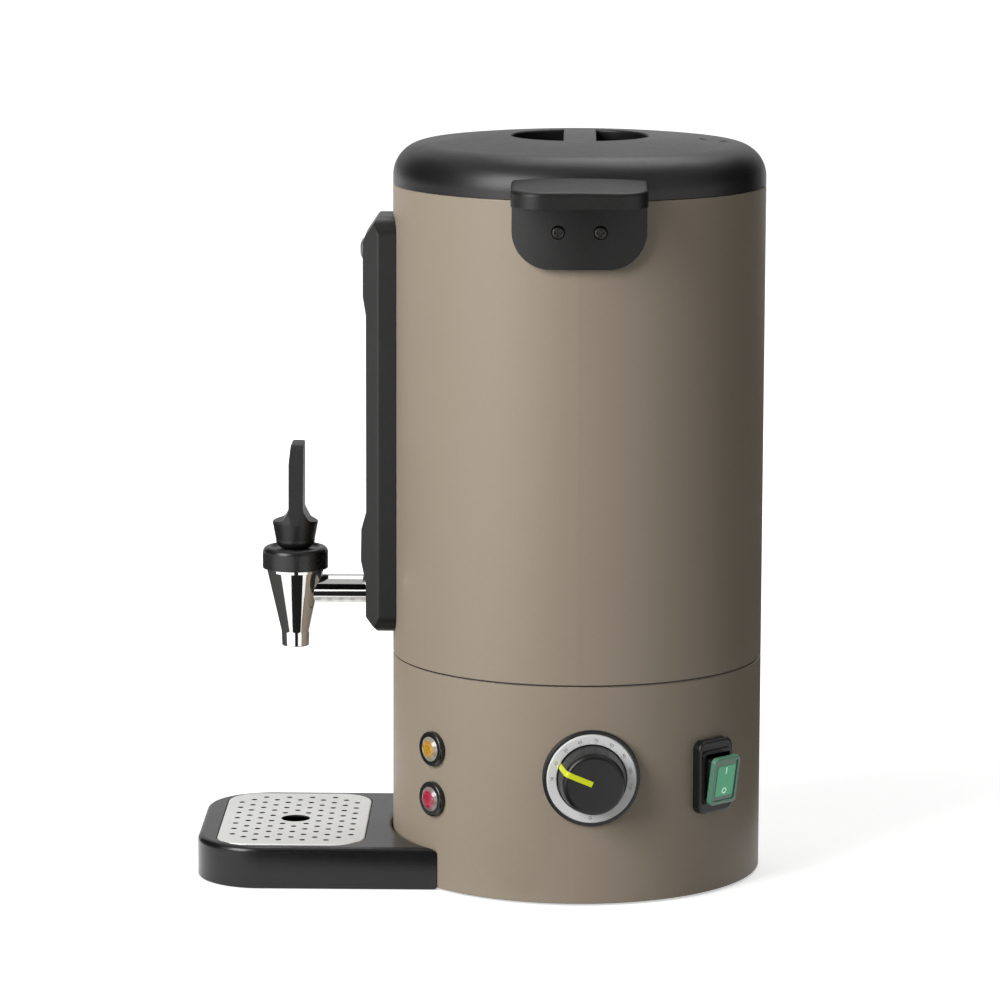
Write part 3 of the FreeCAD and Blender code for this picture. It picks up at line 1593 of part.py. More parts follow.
def lamp_body(height):
    """Round bezel shaped to the drum, with the lamp's barrel and two tags behind it."""
    front = lamp_front
    back = body_radius - lamp_body_depth
    root = body_radius * 0.95
    flange = spun([(root, 0), (root, lamp_bezel_radius), (front, lamp_bezel_radius, 1.0), (front, 0)])
    flange = flange.cut(cylinder(body_radius + running_gap, -lamp_bezel_radius - 1, lamp_bezel_radius + 1))
    blade = blade_sheet / 2
    tags = [box((back - blade_length, back + 1), (y - blade, y + blade), (-blade_width / 4, blade_width / 4))
            for y in (-lamp_body_radius / 2, lamp_body_radius / 2)]
    body = flange.fuse([rod(lamp_body_radius, back, front - 1)] + tags)
    return on_lamp(body.cut(rod(lamp_lens_radius + running_gap, front - lamp_lens_seat, front + 1)), height)


def lamp_lens(height):
    front = lamp_front
    seat = front - lamp_lens_seat
    lens = spun([
        (seat, 0),
        (seat, lamp_lens_radius),
        (front, lamp_lens_radius),
        (front + lamp_lens_dome, lamp_lens_radius * 0.55, 6.0),
        (front + lamp_lens_dome, 0),
    ])
    return on_lamp(lens, height)


def lamp_nuts():
    """Nuts that hold the lamps from inside the base."""
    corner = lamp_nut_flats / math.sqrt(3)
    end = math.sqrt(base_inner ** 2 - corner ** 2) - fit_gap / 2
    nut = hexagon(lamp_nut_flats, end - lamp_nut_height, end)
    nut = nut.cut(rod(lamp_body_radius + running_gap, 0, body_radius))
    return Part.Compound([on_lamp(nut, height) for height in lamp_heights.values()])


# Cable gland and terminal block


def cable_gland():
    """Open gland for the supply cable: flange outside, domed nose and barbed tail inside."""
    outside = body_radius + running_gap
    nose = outside + gland_length
    tail = base_inner - gland_tail
    gland = spun([
        (tail, 0),
        (tail, gland_radius - 1.2, 0.4),
        (base_inner - 1.0, gland_radius),
        (outside, gland_radius),
        (outside, gland_flange_radius, 0.3),
        (outside + 3.0, gland_flange_radius, 0.6),
        (outside + 4.0, gland_radius),
        (nose, gland_radius * 0.72, 1.5),
        (nose, 0),
    ])
    return on_wall(gland.cut(rod(gland_bore_radius, tail - 1, nose + 1)), gland_azimuth, gland_height)


def terminal_block():
    """Supply terminal block on the base plate, one screw well per way."""
    low = base_lip_height
    block = box((-terminal_length / 2, terminal_length / 2), (-terminal_width / 2, terminal_width / 2),
                (low, low + terminal_height))
    pitch = terminal_length / terminal_ways
    wire_level = low + terminal_height * 0.35
    for k in range(terminal_ways):
        x = (k - (terminal_ways - 1) / 2) * pitch
        for y in (-terminal_width / 4, terminal_width / 4):
            block = block.cut(cylinder(terminal_well_radius, wire_level, low + terminal_height + 1, x=x, y=y))
        block = block.cut(moved(across(terminal_wire_radius, terminal_width), x=x, z=wire_level))
    return moved(block, y=terminal_y)


def save(node, shape):
    """Write one node's solids and report their count and volume."""
    solids = shape.Solids
    result = solids[0] if len(solids) == 1 else Part.Compound(solids)
    result.exportStep("parts/" + node + ".step")
    state = "valid" if result.isValid() else "INVALID"
    print(node, len(solids), "solid(s)", round(result.Volume, 1), "mm3", state)


PIECES = {
    "base_housing": base_housing,
    "base_plate": base_plate,
    "base_plate_screws": base_plate_screws,
    "rubber_feet": rubber_feet,
    "seam_ring": seam_ring,
    "body_jacket": body_jacket,
    "inner_tank": inner_tank,
    "tank_studs": tank_studs,
    "tank_nuts": tank_nuts,
    "heater_plate": heater_plate,
    "heating_element": heating_element,
    "thermal_cutout": thermal_cutout,
    "lid_cover": lid_cover,
    "lid_pan": lid_pan,
    "lid_seal": lid_seal,
    "lid_screws": lid_screws,
    "vent_tube": vent_tube,
    "right_handle": right_handle,
    "left_handle": left_handle,
    "handle_screws": handle_screws,
    "handle_backing_plates": handle_backing_plates,
    "gauge_housing": gauge_housing,
    "gauge_window": gauge_window,
    "gauge_screw": gauge_screw,
    "sight_tube": sight_tube,
    "sight_tube_socket": sight_tube_socket,
    "sight_tube_seals": sight_tube_seals,
    "tap_body": tap_body,
    "tap_bonnet": tap_bonnet,
    "tap_lever": tap_lever,
    "lever_pin": lever_pin,
    "valve_stem": valve_stem,
    "valve_seat_cup": valve_seat_cup,
    "tap_spring": tap_spring,
    "shank_spacer": shank_spacer,
    "shank_seal": shank_seal,
    "shank_nut": shank_nut,
    "drip_tray": drip_tray,
    "drip_grid": drip_grid,
    "thermostat_body": thermostat_body,
    "thermostat_shaft": thermostat_shaft,
    "thermostat_nut": thermostat_nut,
    "thermostat_bulb": thermostat_bulb,
    "dial_bezel": dial_bezel,
    "dial_plate": dial_plate,
    "control_knob": control_knob,
    "knob_pointer": knob_pointer,
    "switch_body": switch_body,
    "switch_boot": switch_boot,
    "rocker_core": rocker_core,
    "rocker_cap": rocker_cap,
    "rocker_lens": rocker_lens,
    "lamp_nuts": lamp_nuts,
    "cable_gland": cable_gland,
    "terminal_block": terminal_block,
}

if __name__ == "__main__":
    os.makedirs("parts", exist_ok=True)
    for node, make in PIECES.items():
        save(node, make())
    for colour, height in lamp_heights.items():
        save(colour + "_lamp_body", lamp_body(height))
        save(colour + "_lamp_lens", lamp_lens(height))
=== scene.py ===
"""Looks of a hot water urn, built round its packed construction frame.

In the shared frame +Z is up, the tap faces -Y, the controls sit on the +X side and the origin is on the
drum's axis at floor level. The printed marks are sized in millimetres and become metres when they are
finished. Finishes, lights, cards and the camera are in metres and degrees.
"""

import logging
import math
from dataclasses import dataclass, field
from enum import Enum
from typing import Sequence

import bmesh
import bpy
from mathutils import Matrix, Quaternion, Vector


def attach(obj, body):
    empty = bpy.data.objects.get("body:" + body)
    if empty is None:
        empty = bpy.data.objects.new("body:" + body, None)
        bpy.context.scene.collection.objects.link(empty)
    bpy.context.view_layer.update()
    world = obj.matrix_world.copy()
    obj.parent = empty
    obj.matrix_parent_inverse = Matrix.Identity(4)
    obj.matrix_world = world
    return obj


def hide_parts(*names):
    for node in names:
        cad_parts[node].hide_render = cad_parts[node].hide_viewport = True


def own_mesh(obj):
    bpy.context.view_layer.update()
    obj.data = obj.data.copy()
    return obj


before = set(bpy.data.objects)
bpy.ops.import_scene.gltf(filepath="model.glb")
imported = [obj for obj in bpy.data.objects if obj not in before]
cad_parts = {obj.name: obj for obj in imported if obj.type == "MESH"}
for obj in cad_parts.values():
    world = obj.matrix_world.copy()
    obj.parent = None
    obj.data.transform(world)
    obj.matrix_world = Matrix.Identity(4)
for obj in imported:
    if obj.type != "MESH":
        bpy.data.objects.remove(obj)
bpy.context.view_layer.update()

LOG = logging.getLogger("urn")
MM = 0.001
WELD = 1e-4
SHARP_DEG = 32.0
PRINT_DEPTH = 0.06
TICK_DEPTH = 0.05
CAPITAL_SHARE = 0.7
LAMP_AZIMUTH = -49.5
AMBER_HEIGHT = 0.0827
RED_HEIGHT = 0.0534
COAT_ROUGHNESS = 0.08
SUBSURFACE_REACH = 0.002
DUST_ROUGHNESS = 0.3
STREAK_ROUGHNESS = 0.08
STREAK_DARKNESS = 0.35
GRAIN_UNDER_STREAKS = 0.2
Colour = tuple[float, float, float]
Place = tuple[float, float, float]
Socket = bpy.types.NodeSocket
WHITE = (1.0, 1.0, 1.0, 1.0)
DUST_COLOUR = (0.35, 0.34, 0.32)


class Body(Enum):
    """Bodies of the frame that the scene's own pieces ride on."""

    URN = "urn"
    ROCKER = "rocker"


def srgb(red: float, green: float, blue: float) -> Colour:
    """Linear colour of an 8-bit display colour.

    Args:
        red, green, blue: display values from 0 to 255.

    Returns:
        The linear values that a shader takes.
    """
    def linear(value: float) -> float:
        """One channel."""
        share = value / 255
        return share / 12.92 if share <= 0.04045 else ((share + 0.055) / 1.055) ** 2.4

    return linear(red), linear(green), linear(blue)


# Shape kit


class Solid:
    """A closed shape in the making, in millimetres, which stands on Z = 0."""

    def __init__(self) -> None:
        """Start empty."""
        self.bm = bmesh.new()

    @classmethod
    def box(cls, size: Sequence[float]) -> "Solid":
        """Block that is centred on the Z axis."""
        solid = cls()
        bmesh.ops.create_cube(solid.bm, size=1.0, matrix=Matrix.Translation((0, 0, 0.5)))
        bmesh.ops.scale(solid.bm, verts=solid.bm.verts, vec=size)
        return solid

    @classmethod
    def ring(cls, inner: float, outer: float, thickness: float, steps: int) -> "Solid":
        """Flat ring about the Z axis.

        Args:
            inner, outer: radii of the ring.
            thickness: its height.
            steps: faces round the axis.

        Returns:
            The solid.
        """
        solid = cls()
        bm = solid.bm
        corners = ((inner, 0.0), (outer, 0.0), (outer, thickness), (inner, thickness))
        verts = [bm.verts.new((radius, 0.0, height)) for radius, height in corners]
        edges = [bm.edges.new((verts[index - 1], vert)) for index, vert in enumerate(verts)]
        bmesh.ops.spin(bm, geom=verts + edges, cent=(0, 0, 0), axis=(0, 0, 1), dvec=(0, 0, 0),
                       angle=2 * math.pi, steps=steps, use_merge=True, use_duplicate=False)
        bmesh.ops.remove_doubles(bm, verts=bm.verts, dist=WELD)
        bmesh.ops.recalc_face_normals(bm, faces=bm.faces)
        return solid

    def add(self, other: "Solid") -> "Solid":
        """Carry another solid along as a separate island."""
        mesh = bpy.data.meshes.new("island")
        other.bm.to_mesh(mesh)
        self.bm.from_mesh(mesh)
        bpy.data.meshes.remove(mesh)
        other.bm.free()
        return self

    def shaped(self, matrix: Matrix) -> "Solid":
        """Put the shape through a matrix."""
        bmesh.ops.transform(self.bm, verts=self.bm.verts, matrix=matrix)
        return self

    def mesh(self, name: str) -> bpy.types.Mesh:
        """Finished mesh in metres, smooth but for its sharp edges.

        Args:
            name: the mesh's name.

        Returns:
            The mesh.
        """
        self.shaped(Matrix.Scale(MM, 4))
        limit = math.radians(SHARP_DEG)
        for face in self.bm.faces:
            face.smooth = True
        for edge in self.bm.edges:
            edge.smooth = len(edge.link_faces) == 2 and edge.calc_face_angle(0) < limit
        mesh = bpy.data.meshes.new(name)
        self.bm.to_mesh(mesh)
        self.bm.free()
        return mesh


# Shader effects


class Effect(Enum):
    """Node groups that several finishes share."""

    MOTTLE = "mottle"
    GRAIN = "fine_grain"
    BRUSH = "brushed_streaks"
    DUST = "settled_dust"


class Graph:
    """Short hand for building a node tree."""

    def __init__(self, tree: bpy.types.NodeTree) -> None:
        """Work on this tree."""
        self.tree = tree

    def node(self, kind: str, **values: object) -> bpy.types.Node:
        """New node with properties, and with input values for names that start with in_.

        Args:
            kind: the node's type.
            values: properties, or in_0 and in_Name for the values of inputs.

        Returns:
            The node.
        """
        made = self.tree.nodes.new(kind)
        for key, value in values.items():
            if not key.startswith("in_"):
                setattr(made, key, value)
        for key, value in values.items():
            if key.startswith("in_"):
                label = key[3:].replace("_", " ")
                made.inputs[int(label) if label.isdigit() else label].default_value = value
        return made

    def link(self, source: Socket, target: Socket) -> None:
        """Join two sockets."""
        self.tree.links.new(source, target)

    def noise(self, vector: Socket, scale: Socket | float, detail: float,
              roughness: float = 0.5) -> Socket:
        """Noise value over a vector."""
        made = self.node("ShaderNodeTexNoise", in_Detail=detail, in_Roughness=roughness)
        self.link(vector, made.inputs["Vector"])
        if isinstance(scale, (int, float)):
            made.inputs["Scale"].default_value = scale
        else:
            self.link(scale, made.inputs["Scale"])
        return made.outputs["Fac"]

    def math(self, operation: str, first: object, second: object = None,
             clamp: bool = False) -> Socket:
        """Sum, product and the like of sockets or numbers."""
        made = self.node("ShaderNodeMath", operation=operation, use_clamp=clamp)
        for index, value in enumerate((first, second)):
            if isinstance(value, (int, float)):
                made.inputs[index].default_value = value
            elif value is not None:
                self.link(value, made.inputs[index])
        return made.outputs[0]

    def ramp(self, value: Socket, low: float, high: float, start: float = 0.0,
             end: float = 1.0) -> Socket:
        """Value taken from one range to another and clamped."""
        made = self.node("ShaderNodeMapRange", in_From_Min=low, in_From_Max=high, in_To_Min=start,
                         in_To_Max=end)
        self.link(value, made.inputs["Value"])
        return made.outputs["Result"]

    def blend(self, share: object, first: object, second: object) -> Socket:
        """Mix of two colours by a share."""
        made = self.node("ShaderNodeMix", data_type="RGBA")
        for socket, value in ((made.inputs[0], share), (made.inputs[6], first), (made.inputs[7], second)):
            if isinstance(value, tuple):
                socket.default_value = (*value, 1.0)
            elif isinstance(value, (int, float)):
                socket.default_value = value
            else:
                self.link(value, socket)
        return made.outputs[2]


class Effects:
    """The shared node groups, each built the first time that it is asked for."""

    _made: dict[Effect, bpy.types.NodeTree] = {}

    @classmethod
    def get(cls, effect: Effect) -> bpy.types.NodeTree:
        """Node group of an effect."""
        if effect not in cls._made:
            builders = {Effect.MOTTLE: cls._mottle, Effect.GRAIN: cls._grain, Effect.BRUSH: cls._brush,
                        Effect.DUST: cls._dust}
            cls._made[effect] = builders[effect]()
        return cls._made[effect]

    @staticmethod
    def _start(effect: Effect, inputs: dict[str, float],
               outputs: Sequence[str]) -> tuple[Graph, dict, dict]:
        """Empty group with number inputs, a vector input and number outputs.

        Args:
            effect: names the group.
            inputs: default of each number input.
            outputs: names of the number outputs.

        Returns:
            The graph, its input sockets and its output sockets by name.
        """
        tree = bpy.data.node_groups.new(effect.value, "ShaderNodeTree")
        tree.interface.new_socket("Vector", in_out="INPUT", socket_type="NodeSocketVector")
        for name, value in inputs.items():
            socket = tree.interface.new_socket(name, in_out="INPUT", socket_type="NodeSocketFloat")
            socket.default_value = value
        for name in outputs:
            tree.interface.new_socket(name, in_out="OUTPUT", socket_type="NodeSocketFloat")
        graph = Graph(tree)
        source = graph.node("NodeGroupInput")
        sink = graph.node("NodeGroupOutput")
        return graph, {s.name: s for s in source.outputs}, {s.name: s for s in sink.inputs}

    @classmethod
    def _mottle(cls) -> bpy.types.NodeTree:
        """Broad, faint change of tone."""
        graph, given, result = cls._start(Effect.MOTTLE, {"Scale": 12.0}, ["Tone"])
        broad = graph.noise(given["Vector"], given["Scale"], 3.0)
        fine = graph.noise(given["Vector"], graph.math("MULTIPLY", given["Scale"], 23.0), 2.0)
        tone = graph.math("ADD", graph.math("MULTIPLY", broad, 0.7), graph.math("MULTIPLY", fine, 0.3))
        graph.link(graph.ramp(tone, 0.3, 0.7), result["Tone"])
        return graph.tree

    @classmethod
    def _grain(cls) -> bpy.types.NodeTree:
        """Fine moulded or sprayed texture."""
        graph, given, result = cls._start(Effect.GRAIN, {"Scale": 1500.0}, ["Height"])
        noise = graph.noise(given["Vector"], given["Scale"], 2.0, 0.6)
        cells = graph.node("ShaderNodeTexVoronoi", feature="F1")
        graph.link(given["Vector"], cells.inputs["Vector"])
        graph.link(given["Scale"], cells.inputs["Scale"])
        soft = graph.math("MULTIPLY", noise, 0.7)
        pebbles = graph.math("MULTIPLY", cells.outputs["Distance"], 0.5)
        graph.link(graph.math("ADD", soft, pebbles), result["Height"])
        return graph.tree

    @classmethod
    def _brush(cls) -> bpy.types.NodeTree:
        """Long streaks along the vector's first axis."""
        graph, given, result = cls._start(Effect.BRUSH, {"Scale": 900.0}, ["Streak"])
        drawn = graph.node("ShaderNodeMapping", in_Scale=(0.03, 1.0, 1.0))
        graph.link(given["Vector"], drawn.inputs["Vector"])
        streak = graph.noise(drawn.outputs["Vector"], given["Scale"], 3.0, 0.7)
        graph.link(graph.ramp(streak, 0.25, 0.75), result["Streak"])
        return graph.tree

    @classmethod
    def _dust(cls) -> bpy.types.NodeTree:
        """Faint dust on what faces up."""
        graph, given, result = cls._start(Effect.DUST, {"Amount": 0.1}, ["Mask"])
        shape = graph.node("ShaderNodeNewGeometry")
        parts = graph.node("ShaderNodeSeparateXYZ")
        graph.link(shape.outputs["Normal"], parts.inputs[0])
        upward = graph.ramp(parts.outputs["Z"], 0.5, 1.0)
        patches = graph.ramp(graph.noise(given["Vector"], 90.0, 6.0, 0.65), 0.35, 0.75)
        dusted = graph.math("MULTIPLY", upward, patches)
        graph.link(graph.math("MULTIPLY", dusted, given["Amount"]), result["Mask"])
        return graph.tree


def blank_material(name: str) -> tuple[bpy.types.Material, Graph]:
    """New material whose node tree is empty."""
    made = bpy.data.materials.new(name)
    made.use_nodes = True
    made.node_tree.nodes.clear()
    return made, Graph(made.node_tree)


def placed(name: str, data: bpy.types.ID) -> bpy.types.Object:
    """New object in the scene, at the origin."""
    thing = bpy.data.objects.new(name, data)
    bpy.context.scene.collection.objects.link(thing)
    return thing


# Finishes


@dataclass(frozen=True)
class Finish:
    """A surface: its colour, gloss and fine texture.

    Streaks, when set, name the direction of brushing; the other numbers are shares or scales per metre.
    """

    name: str
    slot: str
    colour: Colour
    shade: float = 0.85
    roughness: float = 0.5
    roughness_change: float = 0.06
    metallic: float = 0.0
    grain_scale: float = 1500.0
    grain_depth: float = 0.00004
    mottle_scale: float = 12.0
    streak_turn: tuple[float, float, float] | None = None
    dust: float = 0.0
    specular: float = 0.5
    coat: float = 0.0
    transmission: float = 0.0
    glow: float = 0.0
    subsurface: float = 0.0

    def material(self) -> bpy.types.Material:
        """The finish's material, built once.

        Returns:
            The material.
        """
        known = bpy.data.materials.get(self.name)
        if known:
            return known
        made, graph = blank_material(self.name)
        place = graph.node("ShaderNodeTexCoord").outputs["Object"]
        shader = graph.node("ShaderNodeBsdfPrincipled", in_Metallic=self.metallic,
                            in_Specular_IOR_Level=self.specular, in_Coat_Weight=self.coat,
                            in_Coat_Roughness=COAT_ROUGHNESS, in_Transmission_Weight=self.transmission)
        tone = self._effect(graph, Effect.MOTTLE, place, Scale=self.mottle_scale).outputs["Tone"]
        dark = tuple(channel * self.shade for channel in self.colour)
        colour = graph.blend(tone, dark, self.colour)
        grain = self._effect(graph, Effect.GRAIN, place, Scale=self.grain_scale)
        height = grain.outputs["Height"]
        rough = graph.ramp(tone, 0.0, 1.0, self.roughness - self.roughness_change,
                           self.roughness + self.roughness_change)
        if self.streak_turn is not None:
            turn = graph.node("ShaderNodeMapping", in_Rotation=self.streak_turn)
            graph.link(place, turn.inputs["Vector"])
            streak = self._effect(graph, Effect.BRUSH, turn.outputs["Vector"]).outputs["Streak"]
            colour = graph.blend(graph.math("MULTIPLY", streak, STREAK_DARKNESS), colour, dark)
            rough = graph.math("ADD", rough, graph.math("MULTIPLY", streak, STREAK_ROUGHNESS))
            height = graph.math("ADD", graph.math("MULTIPLY", height, GRAIN_UNDER_STREAKS), streak)
        if self.dust:
            dust = self._effect(graph, Effect.DUST, place, Amount=self.dust).outputs["Mask"]
            colour = graph.blend(dust, colour, DUST_COLOUR)
            rough = graph.math("ADD", rough, graph.math("MULTIPLY", dust, DUST_ROUGHNESS), clamp=True)
        colour = self._tint(graph, place, colour)
        bump = graph.node("ShaderNodeBump", in_Distance=self.grain_depth, in_Strength=1.0)
        graph.link(height, bump.inputs["Height"])
        graph.link(colour, shader.inputs["Base Color"])
        graph.link(rough, shader.inputs["Roughness"])
        graph.link(bump.outputs["Normal"], shader.inputs["Normal"])
        if self.glow:
            graph.link(colour, shader.inputs["Emission Color"])
            shader.inputs["Emission Strength"].default_value = self.glow
        if self.subsurface:
            shader.inputs["Subsurface Weight"].default_value = self.subsurface
            shader.inputs["Subsurface Scale"].default_value = SUBSURFACE_REACH
        graph.link(shader.outputs["BSDF"], graph.node("ShaderNodeOutputMaterial").inputs["Surface"])
        return made

    def _tint(self, graph: Graph, place: Socket, colour: Socket) -> Socket:
        """Colour after the changes that only some finishes have."""
        return colour

    @staticmethod
    def _effect(graph: Graph, effect: Effect, place: Socket, **values: float) -> bpy.types.Node:
        """Place a shared effect with its own values."""
        made = graph.node("ShaderNodeGroup", node_tree=Effects.get(effect))
        graph.link(place, made.inputs["Vector"])
        for name, value in values.items():
            made.inputs[name].default_value = value
        return made


@dataclass(frozen=True)
class PunchedFinish(Finish):
    """A punched sheet, whose hole walls are painted dark as the shade of the well below."""

    # Painted shade on the hole walls, for the dark of the well under the grid.
    wall_colour: Colour = (0.02, 0.02, 0.02)
    wall_normal: float = 0.6
    field_low: tuple[float, float] = (-0.062, -0.204)
    field_high: tuple[float, float] = (0.062, -0.126)

    def _tint(self, graph: Graph, place: Socket, colour: Socket) -> Socket:
        """Paint shade on the upright walls inside the field of holes."""
        split = graph.node("ShaderNodeSeparateXYZ")
        graph.link(place, split.inputs[0])
        facing = graph.node("ShaderNodeSeparateXYZ")
        graph.link(graph.node("ShaderNodeNewGeometry").outputs["Normal"], facing.inputs[0])
        # Painted shade: upright faces inside the field of holes take the near black colour.
        hole_shade_mask = graph.math("LESS_THAN", graph.math("ABSOLUTE", facing.outputs["Z"]), self.wall_normal)
        for axis, low, high in zip("XY", self.field_low, self.field_high):
            hole_shade_mask = graph.math("MULTIPLY", hole_shade_mask, graph.math("GREATER_THAN", split.outputs[axis], low))
            hole_shade_mask = graph.math("MULTIPLY", hole_shade_mask, graph.math("LESS_THAN", split.outputs[axis], high))
        return graph.blend(hole_shade_mask, colour, self.wall_colour)


@dataclass(frozen=True)
class LensFinish(Finish):
    """A lamp's lens: a faceted core with a painted shade over its facet cells, and a dull translucent rim
    round it.
    """

    azimuth: float = 0.0
    height: float = 0.0
    rim: Colour = (0.30, 0.27, 0.22)
    core_radius: float = 0.0042
    rim_radius: float = 0.0058
    facet_scale: float = 900.0
    # Darkening of the facet cells: painted shade for the light and dark of a cut lens.
    facet_shade: float = 0.5

    def _tint(self, graph: Graph, place: Socket, colour: Socket) -> Socket:
        """Painted facet shade over the core, and the rim by its distance from the lamp's axis."""
        turn = math.radians(self.azimuth)
        axis = (math.cos(turn), math.sin(turn), 0.0)
        from_axis = graph.node("ShaderNodeVectorMath", operation="SUBTRACT")
        graph.link(place, from_axis.inputs[0])
        from_axis.inputs[1].default_value = (0.0, 0.0, self.height)
        along = graph.node("ShaderNodeVectorMath", operation="CROSS_PRODUCT")
        graph.link(from_axis.outputs[0], along.inputs[0])
        along.inputs[1].default_value = axis
        away = graph.node("ShaderNodeVectorMath", operation="LENGTH")
        graph.link(along.outputs[0], away.inputs[0])
        # Painted shade: random cells darken the core as the light on each facet would.
        cells = graph.node("ShaderNodeTexVoronoi", in_Scale=self.facet_scale)
        graph.link(place, cells.inputs["Vector"])
        painted_facet_cells = graph.ramp(cells.outputs["Distance"], 0.15, 0.6, 0.0, 0.8)
        dark = tuple(channel * self.facet_shade for channel in self.colour)
        faceted = graph.blend(painted_facet_cells, colour, dark)
        rim = graph.ramp(away.outputs["Value"], self.core_radius, self.rim_radius)
        return graph.blend(rim, faceted, self.rim)


PAINT = Finish("taupe_powder_coat", "painted_body", srgb(157, 144, 127), shade=0.96, roughness=0.47,
               grain_scale=1100.0, grain_depth=0.00006, mottle_scale=9.0, specular=0.42)
LID_BLACK = Finish("black_lid_plastic", "black_plastic", srgb(25, 25, 25), shade=0.86, roughness=0.36,
                   grain_scale=1500.0, grain_depth=0.00006, dust=0.05, specular=0.38)
HANDLE_BLACK = Finish("black_handle_plastic", "black_plastic", srgb(22, 22, 21), shade=0.85, roughness=0.42,
                      grain_scale=1300.0, grain_depth=0.00007, dust=0.04, specular=0.32)
HOUSING_BLACK = Finish("black_gauge_plastic", "black_plastic", srgb(23, 23, 22), shade=0.85, roughness=0.36,
                       grain_scale=1500.0, grain_depth=0.00005, dust=0.03, specular=0.38)
LEVER_BLACK = Finish("black_lever_plastic", "black_plastic", srgb(22, 22, 22), shade=0.85, roughness=0.42,
                     grain_scale=1700.0, grain_depth=0.00005, dust=0.03, specular=0.45)
BONNET_BLACK = Finish("black_bonnet_plastic", "black_plastic", srgb(24, 24, 24), shade=0.85, roughness=0.30,
                      grain_scale=1700.0, grain_depth=0.00004, dust=0.03, specular=0.45)
TRAY_BLACK = Finish("black_tray_plastic", "black_plastic", srgb(22, 22, 22), shade=0.88, roughness=0.22,
                    grain_scale=1300.0, grain_depth=0.00003, dust=0.04, specular=0.45)
BEZEL_BLACK = Finish("black_dial_bezel", "black_plastic", srgb(24, 23, 22), shade=0.85, roughness=0.38,
                     grain_scale=1900.0, grain_depth=0.00004, specular=0.4)
KNOB_BLACK = Finish("black_knob_plastic", "black_plastic", srgb(24, 24, 25), shade=0.85, roughness=0.33,
                    grain_scale=1900.0, grain_depth=0.00003, specular=0.36)
SWITCH_BLACK = Finish("black_switch_plastic", "black_plastic", srgb(24, 24, 26), shade=0.85, roughness=0.34,
                      grain_scale=1900.0, grain_depth=0.00003, specular=0.36)
LAMP_BLACK = Finish("black_lamp_bezel", "black_plastic", srgb(22, 22, 23), shade=0.85, roughness=0.20,
                    coat=0.3, grain_scale=1900.0, grain_depth=0.00002)
GLAND_BLACK = Finish("black_gland_nylon", "black_plastic", srgb(30, 30, 30), shade=0.8, roughness=0.5)
VENT_BLACK = Finish("black_vent_plastic", "black_plastic", srgb(20, 20, 20), roughness=0.6)
SEAM_BLACK = Finish("black_seam_plastic", "black_plastic", srgb(24, 24, 24), roughness=0.6)
CHROME = Finish("polished_chrome", "chrome", srgb(226, 225, 223), shade=0.97, roughness=0.05,
                roughness_change=0.02, metallic=1.0, grain_scale=400.0, grain_depth=0.000004)
STAINLESS = Finish("stainless_sheet", "stainless", srgb(196, 194, 190), shade=0.86, roughness=0.30,
                   metallic=1.0, streak_turn=(0.0, 0.0, 0.0), grain_depth=0.00001)
GRID_STEEL = PunchedFinish("stainless_grid", "stainless", srgb(246, 246, 244), shade=0.93, roughness=0.38,
                           metallic=0.4, streak_turn=(0.0, 0.0, 0.0), grain_depth=0.000006)
SCREW_STEEL = Finish("screw_steel", "stainless", srgb(150, 148, 145), roughness=0.32, metallic=1.0,
                     grain_scale=2500.0, grain_depth=0.00002)
HANDLE_SCREW = Finish("grey_handle_screw", "stainless", srgb(62, 60, 58), roughness=0.36, metallic=0.9,
                      grain_scale=2500.0, grain_depth=0.00002)
GAUGE_SCREW = Finish("grey_gauge_screw", "stainless", srgb(138, 137, 135), roughness=0.38, metallic=0.9,
                     grain_scale=2500.0, grain_depth=0.00002)
PIN_DARK = Finish("blackened_pin", "stainless", srgb(52, 50, 48), roughness=0.42, metallic=0.8,
                  grain_scale=2500.0, grain_depth=0.00002)
ZINC = Finish("zinc_sheet_metal", "zinc_sheet", srgb(165, 168, 170), shade=0.75, roughness=0.4,
              metallic=0.9, mottle_scale=60.0)
ALUMINIUM = Finish("cast_aluminium", "aluminium", srgb(190, 190, 190), shade=0.8, roughness=0.45,
                   metallic=1.0, mottle_scale=80.0, grain_scale=900.0)
DIAL_SILVER = Finish("silver_dial", "aluminium", srgb(238, 239, 238), shade=0.93, roughness=0.42,
                     metallic=0.1, grain_scale=2200.0, grain_depth=0.00002)
ELEMENT = Finish("oxidised_element", "element_steel", srgb(92, 88, 82), shade=0.6, roughness=0.6,
                 metallic=0.6, mottle_scale=70.0)
BRASS = Finish("turned_brass", "brass", srgb(190, 160, 95), shade=0.8, roughness=0.3, metallic=1.0,
               streak_turn=(0.0, 0.0, 1.57))
RUBBER = Finish("black_rubber", "rubber", srgb(28, 28, 28), roughness=0.78, grain_scale=1200.0,
                grain_depth=0.0001)
BOOT_BLACK = Finish("black_boot_rubber", "rubber", srgb(26, 26, 27), roughness=0.45, grain_scale=1900.0,
                    grain_depth=0.00003)
SILICONE = Finish("white_silicone", "silicone", srgb(220, 218, 210), roughness=0.5, subsurface=0.3)
GREY_PLASTIC = Finish("pale_switch_plastic", "grey_plastic", srgb(200, 197, 190), roughness=0.5)
LIME = Finish("lime_pointer", "lime_plastic", srgb(226, 236, 22), shade=0.95, roughness=0.4,
              grain_depth=0.00002)
GREEN = Finish("green_rocker", "green_plastic", srgb(84, 140, 112), shade=0.9, roughness=0.24, coat=0.3,
               grain_depth=0.00001, subsurface=0.15, glow=0.05)
GREEN_WINDOW = Finish("green_window", "green_plastic", srgb(18, 160, 104), shade=0.90, roughness=0.22,
                      coat=0.4, grain_depth=0.00001, glow=0.38)
